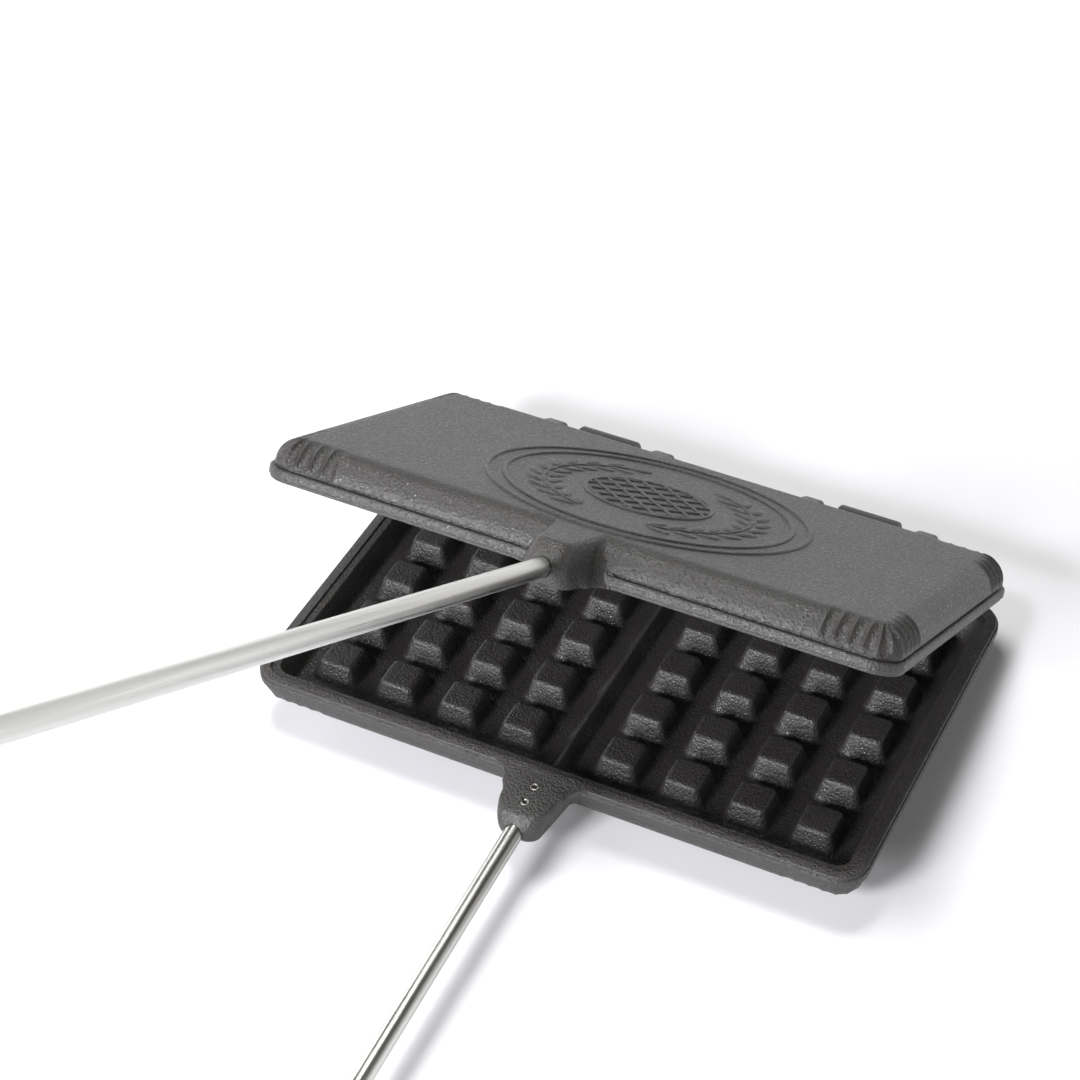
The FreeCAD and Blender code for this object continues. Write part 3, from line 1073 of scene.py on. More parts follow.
    def add_hinge(self, mesh: bmesh.types.BMesh) -> None:
        """Adds the knuckles of the lower half or the ears of the upper one.

        Args:
            mesh: The casting that grows.
        """
        hinge, plate = self.hinge, self.plate
        if self.half is Half.LOWER:
            low = (plate.back - hinge.knuckle_root, -hinge.knuckle_bottom)
            high = (plate.back - plate.dome_inset - plate.groove, -hinge.knuckle_top)
            middles, width, radius = (0.0,), hinge.knuckle_width, hinge.knuckle_radius
            clearance = hinge.pin_clearance
            matrix = Matrix.Identity(4)
        else:
            low = (plate.back - hinge.ear_root, hinge.ear_bottom)
            high = (plate.back - hinge.ear_root, hinge.ear_top)
            aside = hinge.ear_spacing / 2
            middles, width, radius = (-aside, aside), hinge.ear_width, hinge.ear_radius
            clearance = hinge.press_room
            matrix = UPSIDE_DOWN @ Matrix.Translation((0, 0, -plate.parting_gap))
        y = plate.back + hinge.back
        for middle in [place + aside for place in hinge.places for aside in middles]:
            x_low, x_high = middle - width / 2, middle + width / 2
            hole = self.bar(hinge.pin / 2 + clearance, Vector((x_low - hinge.overrun, y, hinge.rise)),
                            Vector((x_high + hinge.overrun, y, hinge.rise)))
            arm = cut(self.lug(x_low, x_high, low, high, radius), [hole])
            move_into(mesh, arm, Skin.OUTSIDE.value, matrix)

    def add_rings(self, mesh: bmesh.types.BMesh) -> None:
        """Adds the two raised rings on the lid.

        Args:
            mesh: The casting that grows.
        """
        frame = self.frame
        for step in range(2):
            middle = frame.diameter / 2 - step * (frame.line + frame.gap) - frame.line / 2
            add_ring(mesh, self.plate, frame, middle, frame.line, frame.segments)

    def build(self) -> bpy.types.Object:
        """Builds the whole casting and puts it where its node is.

        Returns:
            The casting as one object that replaces the node.
        """
        mesh = self.shell()
        self.add_studs(mesh)
        self.add_divider(mesh)
        self.add_boss(mesh)
        self.add_hinge(mesh)
        if self.half is Half.UPPER:
            self.add_rings(mesh)
            Relief(self.plate, self.frame).add_to(mesh)
        piece = finish_piece(f"{self.half.value}_casting", mesh, self.place.matrix(self.half),
                             CAST_CREASE)
        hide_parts(f"{self.half.value}_plate")
        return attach(piece, self.half.value)


def add_ring(mesh: bmesh.types.BMesh, plate: PlateSizes, frame: FrameSizes, radius: float, width: float,
             segments: int) -> None:
    """Adds a raised ring with a round back to the lid's outside.

    Args:
        mesh: The casting that grows.
        plate: Sizes of the casting.
        frame: Sizes of the rings, for the height and the middle.
        radius: Radius of the ring's middle line.
        width: Width of the ring's line.
        segments: Number of straight pieces round the ring.
    """
    outer = [(1.0, -frame.root)] + [(aside, rise * frame.height) for aside, rise in frame.back_shares]
    inner = [(-aside, rise) for aside, rise in reversed(outer[:-1])]
    rings = []
    for aside, rise in outer + inner:
        reach = radius + aside * width / 2
        points = [around(reach, math.tau * step / segments, -plate.thickness - rise)
                  for step in range(segments)]
        rings.append([point - Vector((0, frame.forward, 0)) for point in points])
    move_into(mesh, ring_stack(rings, closed=True), Skin.OUTSIDE.value)


@dataclass
class Relief:
    """Generic raised ornament inside the rings: a round waffle between two grain ears."""

    plate: PlateSizes
    frame: FrameSizes
    height: float = 0.6
    ear_radius: float = 34.5
    ear_turn: float = 64.0
    grains: int = 10
    grain_length: float = 8.6
    grain_width: float = 3.3
    grain_lean: float = 33.0
    grain_aside: float = 3.6
    stalk_width: float = 1.3
    waffle_radius: float = 21.0
    waffle_segments: int = 96
    bar_turns: tuple[float, float] = (45.0, 135.0)
    bar_pitch: float = 6.4
    bars_per_side: int = 3
    bar_width: float = 1.5
    bar_steps: int = 6
    bump_segments: int = 18
    bump_rings: int = 8

    def bump(self, length: float, width: float) -> bmesh.types.BMesh:
        """Builds a low rounded bump.

        Args:
            length: Its length along X.
            width: Its width along Y.

        Returns:
            The bump as a closed mesh.
        """
        mesh = bmesh.new()
        bmesh.ops.create_uvsphere(mesh, u_segments=self.bump_segments, v_segments=self.bump_rings, radius=1.0)
        bmesh.ops.scale(mesh, vec=(length / 2, width / 2, self.height), verts=mesh.verts)
        return mesh

    def spot(self, x: float, y: float, turn: float) -> Matrix:
        """Returns where a bump goes on the lid, at a place from the middle and a turn in degrees."""
        return (Matrix.Translation((x, y - self.frame.forward, -self.plate.thickness))
                @ Matrix.Rotation(math.radians(turn), 4, "Z"))

    def place(self, mesh: bmesh.types.BMesh, bump: bmesh.types.BMesh, spots: list[Matrix]) -> None:
        """Adds a copy of a bump at every spot, and frees the bump.

        Args:
            mesh: The casting that grows.
            bump: The bump.
            spots: Where its copies go.
        """
        for spot in spots:
            add_copy(mesh, bump, spot, Skin.OUTSIDE.value)
        bump.free()

    def add_ears(self, mesh: bmesh.types.BMesh) -> None:
        """Adds two bent ears of grain that face each other.

        Args:
            mesh: The casting that grows.
        """
        grain_spots = []
        stalk_spots = []
        for side, sense in ((0, 1), (180, -1)):
            for step in range(self.grains + 1):
                turn = side + sense * self.ear_turn * (2 * step / self.grains - 1)
                ahead = turn + sense * 90
                along = around(1.0, math.radians(turn)).xy
                stalk_spots.append(self.spot(*(along * self.ear_radius), ahead))
                if step == self.grains:
                    grain_spots.append(self.spot(*(along * self.ear_radius), ahead))
                    continue
                for row in (-1, 1):
                    place = along * (self.ear_radius + row * self.grain_aside)
                    grain_spots.append(self.spot(*place, ahead - sense * row * self.grain_lean))
        self.place(mesh, self.bump(self.grain_length, self.grain_width), grain_spots)
        self.place(mesh, self.bump(self.grain_length, self.stalk_width), stalk_spots)

    def add_waffle(self, mesh: bmesh.types.BMesh) -> None:
        """Adds a round waffle: a ring with two crossing rows of bars.

        Args:
            mesh: The casting that grows.
        """
        add_ring(mesh, self.plate, self.frame, self.waffle_radius, self.bar_width, self.waffle_segments)
        for turn in self.bar_turns:
            across = Vector((-math.sin(math.radians(turn)), math.cos(math.radians(turn))))
            for step in range(-self.bars_per_side, self.bars_per_side + 1):
                aside = step * self.bar_pitch
                chord = 2 * math.sqrt(self.waffle_radius ** 2 - aside ** 2)
                self.place(mesh, self.bar(chord), [self.spot(*(across * aside), turn)])

    def bar(self, length: float) -> bmesh.types.BMesh:
        """Builds a straight bar with a round back.

        Args:
            length: Its length along X.

        Returns:
            The bar as a closed mesh.
        """
        half = self.bar_width / 2
        turns = [math.pi * step / self.bar_steps for step in range(self.bar_steps + 1)]
        section = [(half * math.cos(turn), self.height * math.sin(turn)) for turn in turns]
        section += [(-half, -self.height), (half, -self.height)]
        bar = ring_stack([[Vector((end, y, z)) for y, z in section] for end in (-length / 2, length / 2)])
        bmesh.ops.transform(bar, matrix=UPSIDE_DOWN, verts=bar.verts)
        bmesh.ops.recalc_face_normals(bar, faces=bar.faces)
        return bar

    def add_to(self, mesh: bmesh.types.BMesh) -> None:
        """Adds the ornament to the casting."""
        self.add_ears(mesh)
        self.add_waffle(mesh)


def finish_piece(name: str, mesh: bmesh.types.BMesh, matrix: Matrix, sharp_angle: float) -> bpy.types.Object:
    """Makes the object of a finished mesh, with its place in the mesh and smooth shading.

    Each point keeps its place in the drawing, in metres, for patterns that follow the piece.

    Args:
        name: Name of the piece.
        mesh: Its shape in millimetres.
        matrix: Its place in the row frame.
        sharp_angle: Angle in degrees above which an edge stays crisp.

    Returns:
        The object.
    """
    own_place = mesh.verts.layers.float_vector.new(OWN_PLACE)
    for vert in mesh.verts:
        vert[own_place] = vert.co * MILLIMETRE
    bmesh.ops.transform(mesh, matrix=matrix, verts=mesh.verts)
    if matrix.determinant() < 0:
        bmesh.ops.reverse_faces(mesh, faces=mesh.faces)
    for face in mesh.faces:
        face.smooth = True
    for edge in mesh.edges:
        if len(edge.link_faces) == 2 and edge.calc_face_angle(0.0) > math.radians(sharp_angle):
            edge.smooth = False
    piece = mesh_object(name, mesh)
    LOG.info("%s has %d faces", name, len(piece.data.polygons))
    return piece


@dataclass
class Handle:
    """The rod, spring pins, grip, ferrule, washer and cap nut of one half."""

    half: Half
    place: CastingFrame
    casting: Casting
    sizes: HandleSizes = HandleSizes()

    def turned_piece(self, name: str, outline: list[tuple[float, float]], base: float,
                     sides: int) -> bpy.types.Object:
        """Turns a piece about the rod's axis and puts it on the rod.

        Args:
            name: Name of the node that the piece stands for.
            outline: Distances and radii.
            base: Distance of the piece's start from the mouth of the socket.
            sides: Number of flat sides round the piece.

        Returns:
            The piece, riding on its half.
        """
        return self.set_on_rod(name, turned(outline, sides), base)

    def set_on_rod(self, name: str, mesh: bmesh.types.BMesh, base: float) -> bpy.types.Object:
        """Puts a mesh that stands on Z onto the rod.

        Args:
            name: Name of the node that the piece stands for.
            mesh: The piece's shape; it is freed.
            base: Distance of the piece's start from the mouth of the socket.

        Returns:
            The piece, riding on its half.
        """
        casting = self.casting
        turn = casting.rod_direction().to_track_quat("Z", "Y").to_matrix().to_4x4()
        matrix = self.place.matrix(self.half) @ Matrix.Translation(casting.rod_line(base)) @ turn
        return self.carried(name, mesh, matrix)

    def carried(self, name: str, mesh: bmesh.types.BMesh, matrix: Matrix) -> bpy.types.Object:
        """Finishes a mesh as the piece that replaces a node of this half.

        Args:
            name: Name of the node, without its half.
            mesh: The piece's shape; it is freed.
            matrix: Where it goes in the row frame.

        Returns:
            The piece, riding on its half.
        """
        node = f"{self.half.value}_{name}"
        piece = finish_piece(f"{node}_finish", mesh, matrix, TURNED_CREASE)
        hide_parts(node)
        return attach(piece, self.half.value)

    def rod(self) -> bpy.types.Object:
        """Builds the straight rod with softly bevelled ends.

        Returns:
            The rod, riding on its half.
        """
        sizes = self.sizes
        start = sizes.end_gap - sizes.socket_depth
        end = sizes.exposed + sizes.grip_length + sizes.washer_thickness + sizes.nut_bore - sizes.end_gap
        length, radius, bevel = end - start, sizes.rod / 2, sizes.rod_bevel
        outline = [(0, 0), (0, radius - bevel), (bevel, radius)]
        outline += [(bevel + (length - 2 * bevel) * step / sizes.rod_rings, radius)
                    for step in range(1, sizes.rod_rings + 1)]
        outline += [(length, radius - bevel), (length, 0)]
        return self.turned_piece("handle_rod", outline, start, sizes.rod_sides)

    def grip_piece(self) -> bpy.types.Object:
        """Builds the turned wooden grip with a round end and a soft front shoulder.

        Returns:
            The grip, riding on its half.
        """
        sizes = self.sizes
        radius = sizes.grip / 2
        bore = sizes.rod / 2 + sizes.bore_clearance
        spigot = radius - sizes.ferrule_wall - sizes.ferrule_room
        front, rounding = sizes.ferrule_length, sizes.grip_rounding
        shoulder = front + sizes.grip_shoulder
        straight = sizes.grip_length - rounding
        outline = [(sizes.bore_edge, bore), (0, bore + sizes.bore_edge), (0, spigot), (front, spigot),
                   (front, radius - sizes.grip_shoulder), (shoulder, radius)]
        outline += [(shoulder + (straight - shoulder) * step / sizes.grip_rings, radius)
                    for step in range(1, sizes.grip_rings + 1)]
        outline += [(straight + rounding * math.sin(turn), radius - rounding * (1 - math.cos(turn)))
                    for turn in quarter_turns(sizes.grip_end_steps)[1:]]
        outline += [(sizes.grip_length, bore), outline[0]]
        return self.turned_piece("grip", outline, sizes.exposed, sizes.grip_sides)

    def ferrule_piece(self) -> bpy.types.Object:
        """Builds the ferrule with rolled edges and a groove near its front.

        Returns:
            The ferrule, riding on its half.
        """
        sizes = self.sizes
        outer = sizes.grip / 2
        inner = outer - sizes.ferrule_wall
        end, mouth = sizes.ferrule_length, sizes.ferrule_mouth
        edge, bend = sizes.ferrule_edge, sizes.ferrule_bend
        back_run, back_drop = sizes.ferrule_back_edge
        start, run = sizes.groove_at, sizes.groove_run
        groove = outer - sizes.groove_depth
        outline = [(mouth, inner), (0, inner + mouth), (0, outer - edge), (bend, outer - bend), (edge, outer),
                   (start, outer), (start + run, groove), (start + 2 * run, groove), (start + 3 * run, outer),
                   (end - back_run, outer), (end, outer - back_drop), (end, inner), (mouth, inner)]
        return self.turned_piece("ferrule", outline, sizes.exposed, sizes.grip_sides)

    def washer_piece(self) -> bpy.types.Object:
        """Builds the washer with soft edges.

        Returns:
            The washer, riding on its half.
        """
        sizes = self.sizes
        outer = sizes.washer / 2
        inner = sizes.rod / 2 + sizes.bore_clearance
        thick = sizes.washer_thickness
        front, back = sizes.washer_edges
        outline = [(0, inner), (0, outer - front), (front, outer), (thick - back, outer),
                   (thick, outer - back), (thick, inner), (0, inner)]
        base = sizes.exposed + sizes.grip_length
        return self.turned_piece("grip_washer", outline, base, sizes.washer_sides)

    def nut_piece(self) -> bpy.types.Object:
        """Builds the cap nut: a hexagon with turned corners under a round crown.

        Returns:
            The nut, riding on its half.
        """
        sizes = self.sizes
        across = sizes.nut_flats / 2
        corner = across * 2 / math.sqrt(3)
        crown = across - sizes.nut_wall
        top = sizes.nut_hex_length
        twelfth = math.pi / 6
        turns = [math.tau * step / sizes.nut_sides for step in range(sizes.nut_sides)]
        rings = []
        for height, share in ((0.0, sizes.nut_foot_share), (sizes.nut_foot_edge, 1.0),
                              (top - sizes.nut_top_edge, 1.0), (top, sizes.nut_top_share)):
            flats = [across / math.cos((turn + twelfth) % (2 * twelfth) - twelfth) for turn in turns]
            rings.append([around(min(flat, corner * share), turn + twelfth, height)
                          for flat, turn in zip(flats, turns)])
        for step in range(sizes.crown_steps + 1):
            rise = math.pi / 2 * step / (sizes.crown_steps + sizes.crown_tip)
            radius = crown * math.cos(rise) ** sizes.crown_fullness
            height = top + sizes.nut_crown_length * math.sin(rise)
            rings.append([around(radius, turn + twelfth, height) for turn in turns])
        base = sizes.exposed + sizes.grip_length + sizes.washer_thickness
        return self.set_on_rod("cap_nut", ring_stack(rings), base)

    def socket_pins(self) -> bpy.types.Object:
        """Builds the two rolled spring pins, each a tube with a slot.

        Returns:
            Both pins as one piece, riding on their half.
        """
        sizes = self.sizes
        pins = bmesh.new()
        outer = sizes.pin / 2
        inner = outer - sizes.pin_wall
        half_slot = sizes.pin_slot / 2 / outer
        turns = [half_slot + (math.tau - 2 * half_slot) * step / sizes.pin_sides
                 for step in range(sizes.pin_sides + 1)]
        bottom = -sizes.pin_recess - sizes.pin_length
        for y, slot_turn in zip(self.casting.pin_places(), sizes.pin_slot_turns):
            rings = []
            for z, soft in sizes.pin_rim + ((-sizes.pin_recess, 0.0), (bottom, 0.0)):
                outside = [(turn + slot_turn, outer - soft) for turn in turns]
                inside = [(turn + slot_turn, inner + soft) for turn in reversed(turns)]
                rings.append([Vector((radius * math.cos(turn), y + radius * math.sin(turn), z))
                              for turn, radius in outside + inside])
            move_into(pins, ring_stack(rings))
        return self.carried("socket_pins", pins, self.place.matrix(self.half))

    def build(self) -> dict[str, list[bpy.types.Object]]:
        """Builds every piece of the handle.

        Returns:
            The pieces, grouped by their material slot.
        """
        steel = [self.rod(), self.ferrule_piece(), self.washer_piece(), self.nut_piece(), self.socket_pins()]
        return {"plated_steel": steel, "turned_wood": [self.grip_piece()]}


@dataclass
class HingePins:
    """The two steel pins of the hinge."""

    place: CastingFrame
    hinge: HingeSizes = HingeSizes()

    def build(self) -> list[bpy.types.Object]:
        """Builds both pins with softly domed ends.

        Returns:
            The pins, riding on the upper half.
        """
        hinge = self.hinge
        reach = hinge.ear_spacing / 2 + hinge.ear_width / 2 + hinge.pin_end
        radius = hinge.pin / 2
        end = [(run - reach, radius - inset) for run, inset in hinge.pin_dome]
        other_end = [(-height, size) for height, size in reversed(end)]
        outline = [(-reach, 0)] + end + other_end + [(reach, 0)]
        pins = []
        for name, x in zip(("left_hinge_pin", "right_hinge_pin"), hinge.places):
            middle = Matrix.Translation(self.place.axis() + Vector((x, 0, 0)))
            spot = middle @ Matrix.Rotation(math.pi / 2, 4, "Y")
            matrix = self.place.matrix(Half.LOWER) @ self.place.swing() @ spot
            piece = finish_piece(f"{name}_finish", turned(outline, hinge.pin_sides), matrix, TURNED_CREASE)
            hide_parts(name)
            pins.append(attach(piece, Half.UPPER.value))
        return pins


class NodeTree:
    """Short calls for building a node tree."""

    def __init__(self, tree: bpy.types.NodeTree) -> None:
        """Clears the tree and keeps it."""
        self.tree = tree
        tree.nodes.clear()

    def node(self, kind: str, inputs: dict | None = None, **settings: object) -> bpy.types.Node:
        """Adds a node.

        Args:
            kind: The node's type.
            inputs: Values or source sockets by input name or number.
            settings: Attributes of the node.

        Returns:
            The new node.
        """
        made = self.tree.nodes.new(kind)
        for name, value in settings.items():
            setattr(made, name, value)
        for name, value in (inputs or {}).items():
            self.feed(made.inputs[name], value)
        return made

    def feed(self, socket: bpy.types.NodeSocket, value: object) -> None:
        """Sets an input to a value or links it to a source socket.

        Args:
            socket: The input.
            value: A value, or the output that feeds the input.
        """
        if isinstance(value, bpy.types.NodeSocket):
            self.tree.links.new(value, socket)
        else:
            socket.default_value = value

    def math(self, operation: str, first: object, second: object = 0.0, clamp: bool = False
             ) -> bpy.types.NodeSocket:
        """Adds a math node and returns its result."""
        made = self.node("ShaderNodeMath", {0: first, 1: second}, operation=operation, use_clamp=clamp)
        return made.outputs[0]

    def noise(self, vector: object, scale: object, detail: float, roughness: float) -> bpy.types.NodeSocket:
        """Adds a noise texture and returns its value."""
        return self.node("ShaderNodeTexNoise", {"Vector": vector, "Scale": scale, "Detail": detail,
                                                "Roughness": roughness}).outputs["Fac"]

    def span(self, value: object, low: float, high: float, start: float = 0.0, end: float = 1.0
             ) -> bpy.types.NodeSocket:
        """Adds a clamped map of a value's range onto another.

        Args:
            value: The value.
            low: Where its range starts.
            high: Where its range ends.
            start: The result at the range's start.
            end: The result at the range's end.

        Returns:
            The result.
        """
        made = self.node("ShaderNodeMapRange", {"Value": value, "From Min": low, "From Max": high,
                                                "To Min": start, "To Max": end}, clamp=True)
        return made.outputs["Result"]

    def blend(self, share: object, first: object, second: object) -> bpy.types.NodeSocket:
        """Adds a colour mix and returns its result."""
        made = self.node("ShaderNodeMix", {"Factor": share, 6: first, 7: second}, data_type="RGBA")
        return made.outputs[2]

    def own_place(self, stretch: tuple[float, float, float]) -> bpy.types.NodeSocket:
        """Adds the place that a piece's points keep from its drawing, and returns it stretched."""
        place = self.node("ShaderNodeAttribute", attribute_name=OWN_PLACE).outputs["Vector"]
        return self.node("ShaderNodeMapping", {"Vector": place, "Scale": stretch}).outputs[0]

    def bump(self, height: object, strength: float, distance: float) -> bpy.types.NodeSocket:
        """Adds a bump and returns the normals that it gives."""
        return self.node("ShaderNodeBump", {"Strength": strength, "Distance": distance,
                                            "Height": height}).outputs[0]

    def surface(self, inputs: dict) -> None:
        """Adds the surface shader with its inputs, and links it to the material's output."""
        shader = self.node("ShaderNodeBsdfPrincipled", inputs)
        self.node("ShaderNodeOutputMaterial", {"Surface": shader.outputs[0]})


def colour(red: float, green: float, blue: float) -> tuple[float, float, float, float]:
    """Returns a colour with full alpha."""
    return (red, green, blue, 1.0)


def new_material(name: str) -> bpy.types.Material:
    """Makes a material that has nodes.

    Args:
        name: Name of the material.

    Returns:
        The material.
    """
    material = bpy.data.materials.new(name)
    material.use_nodes = True
    return material


@dataclass(frozen=True)
class CastGrain:
    """Node group of a sand cast surface: a grain height, a speckle mask and a broad shade.

    A noise is given by its detail and roughness. The medium noise and the pits have their scale as
    a share of the grain's, and the heights' shares say how much each adds.
    """

    grain_size: float = 900.0
    pits: float = 0.4
    fine: tuple[float, float] = (3.0, 0.62)
    medium: tuple[float, float] = (2.0, 0.5)
    broad: tuple[float, float] = (3.0, 0.55)
    broad_scale: float = 38.0
    medium_scale_share: float = 0.33
    pit_scale_share: float = 0.8
    pit_reach: float = 0.55
    fine_height_share: float = 0.7
    medium_height_share: float = 0.2
    speckle_span: tuple[float, float] = (0.52, 0.72)

    def build(self) -> bpy.types.NodeTree:
        """Builds the group.

        Returns:
            The node group, with Vector, Grain Size and Pits as inputs.
        """
        group = bpy.data.node_groups.new("cast_grain", "ShaderNodeTree")
        group.interface.new_socket("Vector", in_out="INPUT", socket_type="NodeSocketVector")
        for name, default in (("Grain Size", self.grain_size), ("Pits", self.pits)):
            socket = group.interface.new_socket(name, in_out="INPUT", socket_type="NodeSocketFloat")
            socket.default_value = default
        for name in ("Height", "Speckle", "Shade"):
            group.interface.new_socket(name, in_out="OUTPUT", socket_type="NodeSocketFloat")
        tree = NodeTree(group)
        entry = tree.node("NodeGroupInput")
        vector, size, pits = entry.outputs["Vector"], entry.outputs["Grain Size"], entry.outputs["Pits"]
        grain = tree.noise(vector, size, *self.fine)
        medium = tree.noise(vector, tree.math("MULTIPLY", size, self.medium_scale_share), *self.medium)
        broad = tree.noise(vector, self.broad_scale, *self.broad)
        cell_scale = tree.math("MULTIPLY", size, self.pit_scale_share)
        cells = tree.node("ShaderNodeTexVoronoi", {"Vector": vector, "Scale": cell_scale}, feature="F1")
        pit = tree.span(cells.outputs["Distance"], 0.0, self.pit_reach)
        height = tree.math("ADD", tree.math("MULTIPLY", grain, self.fine_height_share),
                           tree.math("MULTIPLY", medium, self.medium_height_share))
        height = tree.math("ADD", height, tree.math("MULTIPLY", pit, pits))
        tree.node("NodeGroupOutput", {"Height": height, "Speckle": tree.span(grain, *self.speckle_span),
                                      "Shade": broad})
        return group


@dataclass(frozen=True)
class IronFinish:
    """A finish of the cast iron."""

    name: str
    dark: tuple[float, float, float, float]
    pale: tuple[float, float, float, float]
    grain_size: float
    pits: float
    relief: float
    smooth: float
    rough: float
    ior: float
    shade_span: tuple[float, float] = (0.3, 0.7)

    def build(self, grain: bpy.types.NodeTree) -> bpy.types.Material:
        """Builds the material.

        Args:
            grain: The cast grain node group.

        Returns:
            The material.
        """
        material = new_material(self.name)
        tree = NodeTree(material.node_tree)
        place = tree.node("ShaderNodeTexCoord").outputs["Object"]
        cast = tree.node("ShaderNodeGroup", {"Vector": place, "Grain Size": self.grain_size,
                                             "Pits": self.pits}, node_tree=grain)
        shade = tree.span(cast.outputs["Shade"], *self.shade_span)
        tree.surface({"Base Color": tree.blend(shade, self.dark, self.pale),
                      "Roughness": tree.span(cast.outputs["Speckle"], 0.0, 1.0, self.rough, self.smooth),
                      "IOR": self.ior,
                      "Normal": tree.bump(cast.outputs["Height"], 1.0, self.relief)})
        return material


CAST_SKIN = IronFinish("cast_skin", dark=colour(0.023, 0.021, 0.019), pale=colour(0.034, 0.032, 0.029),
                       grain_size=1100.0, pits=0.45, relief=0.00040, smooth=0.15, rough=0.52, ior=1.6)
# Inside of the castings: seasoned iron, whose near-black base colour is partly the real seasoning and partly
# painted shade that darkens the studded cavity.
SEASONED_IRON_AND_SHADE = IronFinish("seasoned_iron_and_shade", dark=colour(0.003, 0.0027, 0.003),
                           pale=colour(0.006, 0.005, 0.0055), grain_size=1150.0, pits=0.4,
                           relief=0.00010, smooth=0.09, rough=0.19, ior=2.4)


@dataclass(frozen=True)
class SteelFinish:
    """Bright plated steel with a fine grain drawn along the rods.

    A noise is given by its scale, detail and roughness.
    """

    name: str = "plated_steel"
    tone: tuple[float, float, float, float] = colour(0.60, 0.60, 0.575)
    shadow: tuple[float, float, float, float] = colour(0.47, 0.465, 0.44)
    smooth: float = 0.26
    rough: float = 0.42
    stretch: tuple[float, float, float] = (1.0, 1.0, 0.012)
    streak_noise: tuple[float, float, float] = (1500.0, 2.0, 0.6)
    streak_span: tuple[float, float] = (0.3, 0.7)
    band_noise: tuple[float, float, float] = (420.0, 1.0, 0.5)
    band_span: tuple[float, float] = (0.4, 0.65)
    band_height_share: float = 2.0
    bump_strength: float = 0.6
    relief: float = 0.00004

    def build(self) -> bpy.types.Material:
        """Builds the material.

        Returns:
            The material.
        """
        material = new_material(self.name)
        tree = NodeTree(material.node_tree)
        drawn = tree.own_place(self.stretch)
        streaks = tree.noise(drawn, *self.streak_noise)
        bands = tree.noise(drawn, *self.band_noise)
        height = tree.math("ADD", streaks, tree.math("MULTIPLY", bands, self.band_height_share))
        tree.surface({"Base Color": tree.blend(tree.span(bands, *self.band_span), self.tone, self.shadow),
                      "Metallic": 1.0,
                      "Roughness": tree.span(streaks, *self.streak_span, self.smooth, self.rough),
                      "Normal": tree.bump(height, self.bump_strength, self.relief)})
        return material


@dataclass(frozen=True)
class WoodFinish:
    """Turned hardwood under a clear lacquer.

    A noise is given by its scale, detail and roughness.
    """

    name: str = "turned_wood"
    early: tuple[float, float, float, float] = colour(0.40, 0.22, 0.10)
    late: tuple[float, float, float, float] = colour(0.22, 0.105, 0.045)
    stretch: tuple[float, float, float] = (1.0, 0.6, 0.07)
    ring_noise: tuple[float, float, float] = (60.0, 3.0, 0.55)
    rings: float = 9.0
    half_ring: float = 0.5
    ring_share: float = 1.3
    fibre_noise: tuple[float, float, float] = (1400.0, 2.0, 0.7)
    fibre_share: float = 0.35
    bump_strength: float = 0.3
    relief: float = 0.0001
    roughness: float = 0.42
    lacquer: float = 0.45
    lacquer_roughness: float = 0.22

    def build(self) -> bpy.types.Material:
        """Builds the material.

        Returns:
            The material.
        """
        material = new_material(self.name)
        tree = NodeTree(material.node_tree)
        drawn = tree.own_place(self.stretch)
        saw = tree.math("FRACT", tree.math("MULTIPLY", tree.noise(drawn, *self.ring_noise), self.rings))
        band = tree.math("PINGPONG", saw, self.half_ring)
        fibre = tree.noise(drawn, *self.fibre_noise)
        share = tree.math("ADD", tree.math("MULTIPLY", band, self.ring_share),
                          tree.math("MULTIPLY", fibre, self.fibre_share), clamp=True)
        tree.surface({"Base Color": tree.blend(share, self.early, self.late), "Roughness": self.roughness,
                      "Coat Weight": self.lacquer, "Coat Roughness": self.lacquer_roughness,
                      "Normal": tree.bump(fibre, self.bump_strength, self.relief)})
        return material


@dataclass(frozen=True)
class SoftBox:
    """A rectangular lamp, with its places and sizes in metres and its power in watts."""

    name: str
    at: tuple[float, float, float]
    aim: tuple[float, float, float]
    size: tuple[float, float]
    power: float
    tint: tuple[float, float, float] = (1.0, 1.0, 1.0)

    def build(self) -> None:
        """Adds the lamp to the scene, turned to the point it faces."""
        data = bpy.data.lights.new(self.name, "AREA")
        data.color = self.tint
        data.shape = "RECTANGLE"
        data.size, data.size_y = self.size
        data.energy = self.power
        lamp = bpy.data.objects.new(self.name, data)
        lamp.location = self.at
        lamp.rotation_euler = (Vector(self.at) - Vector(self.aim)).to_track_quat("Z", "Y").to_euler()
        bpy.context.scene.collection.objects.link(lamp)


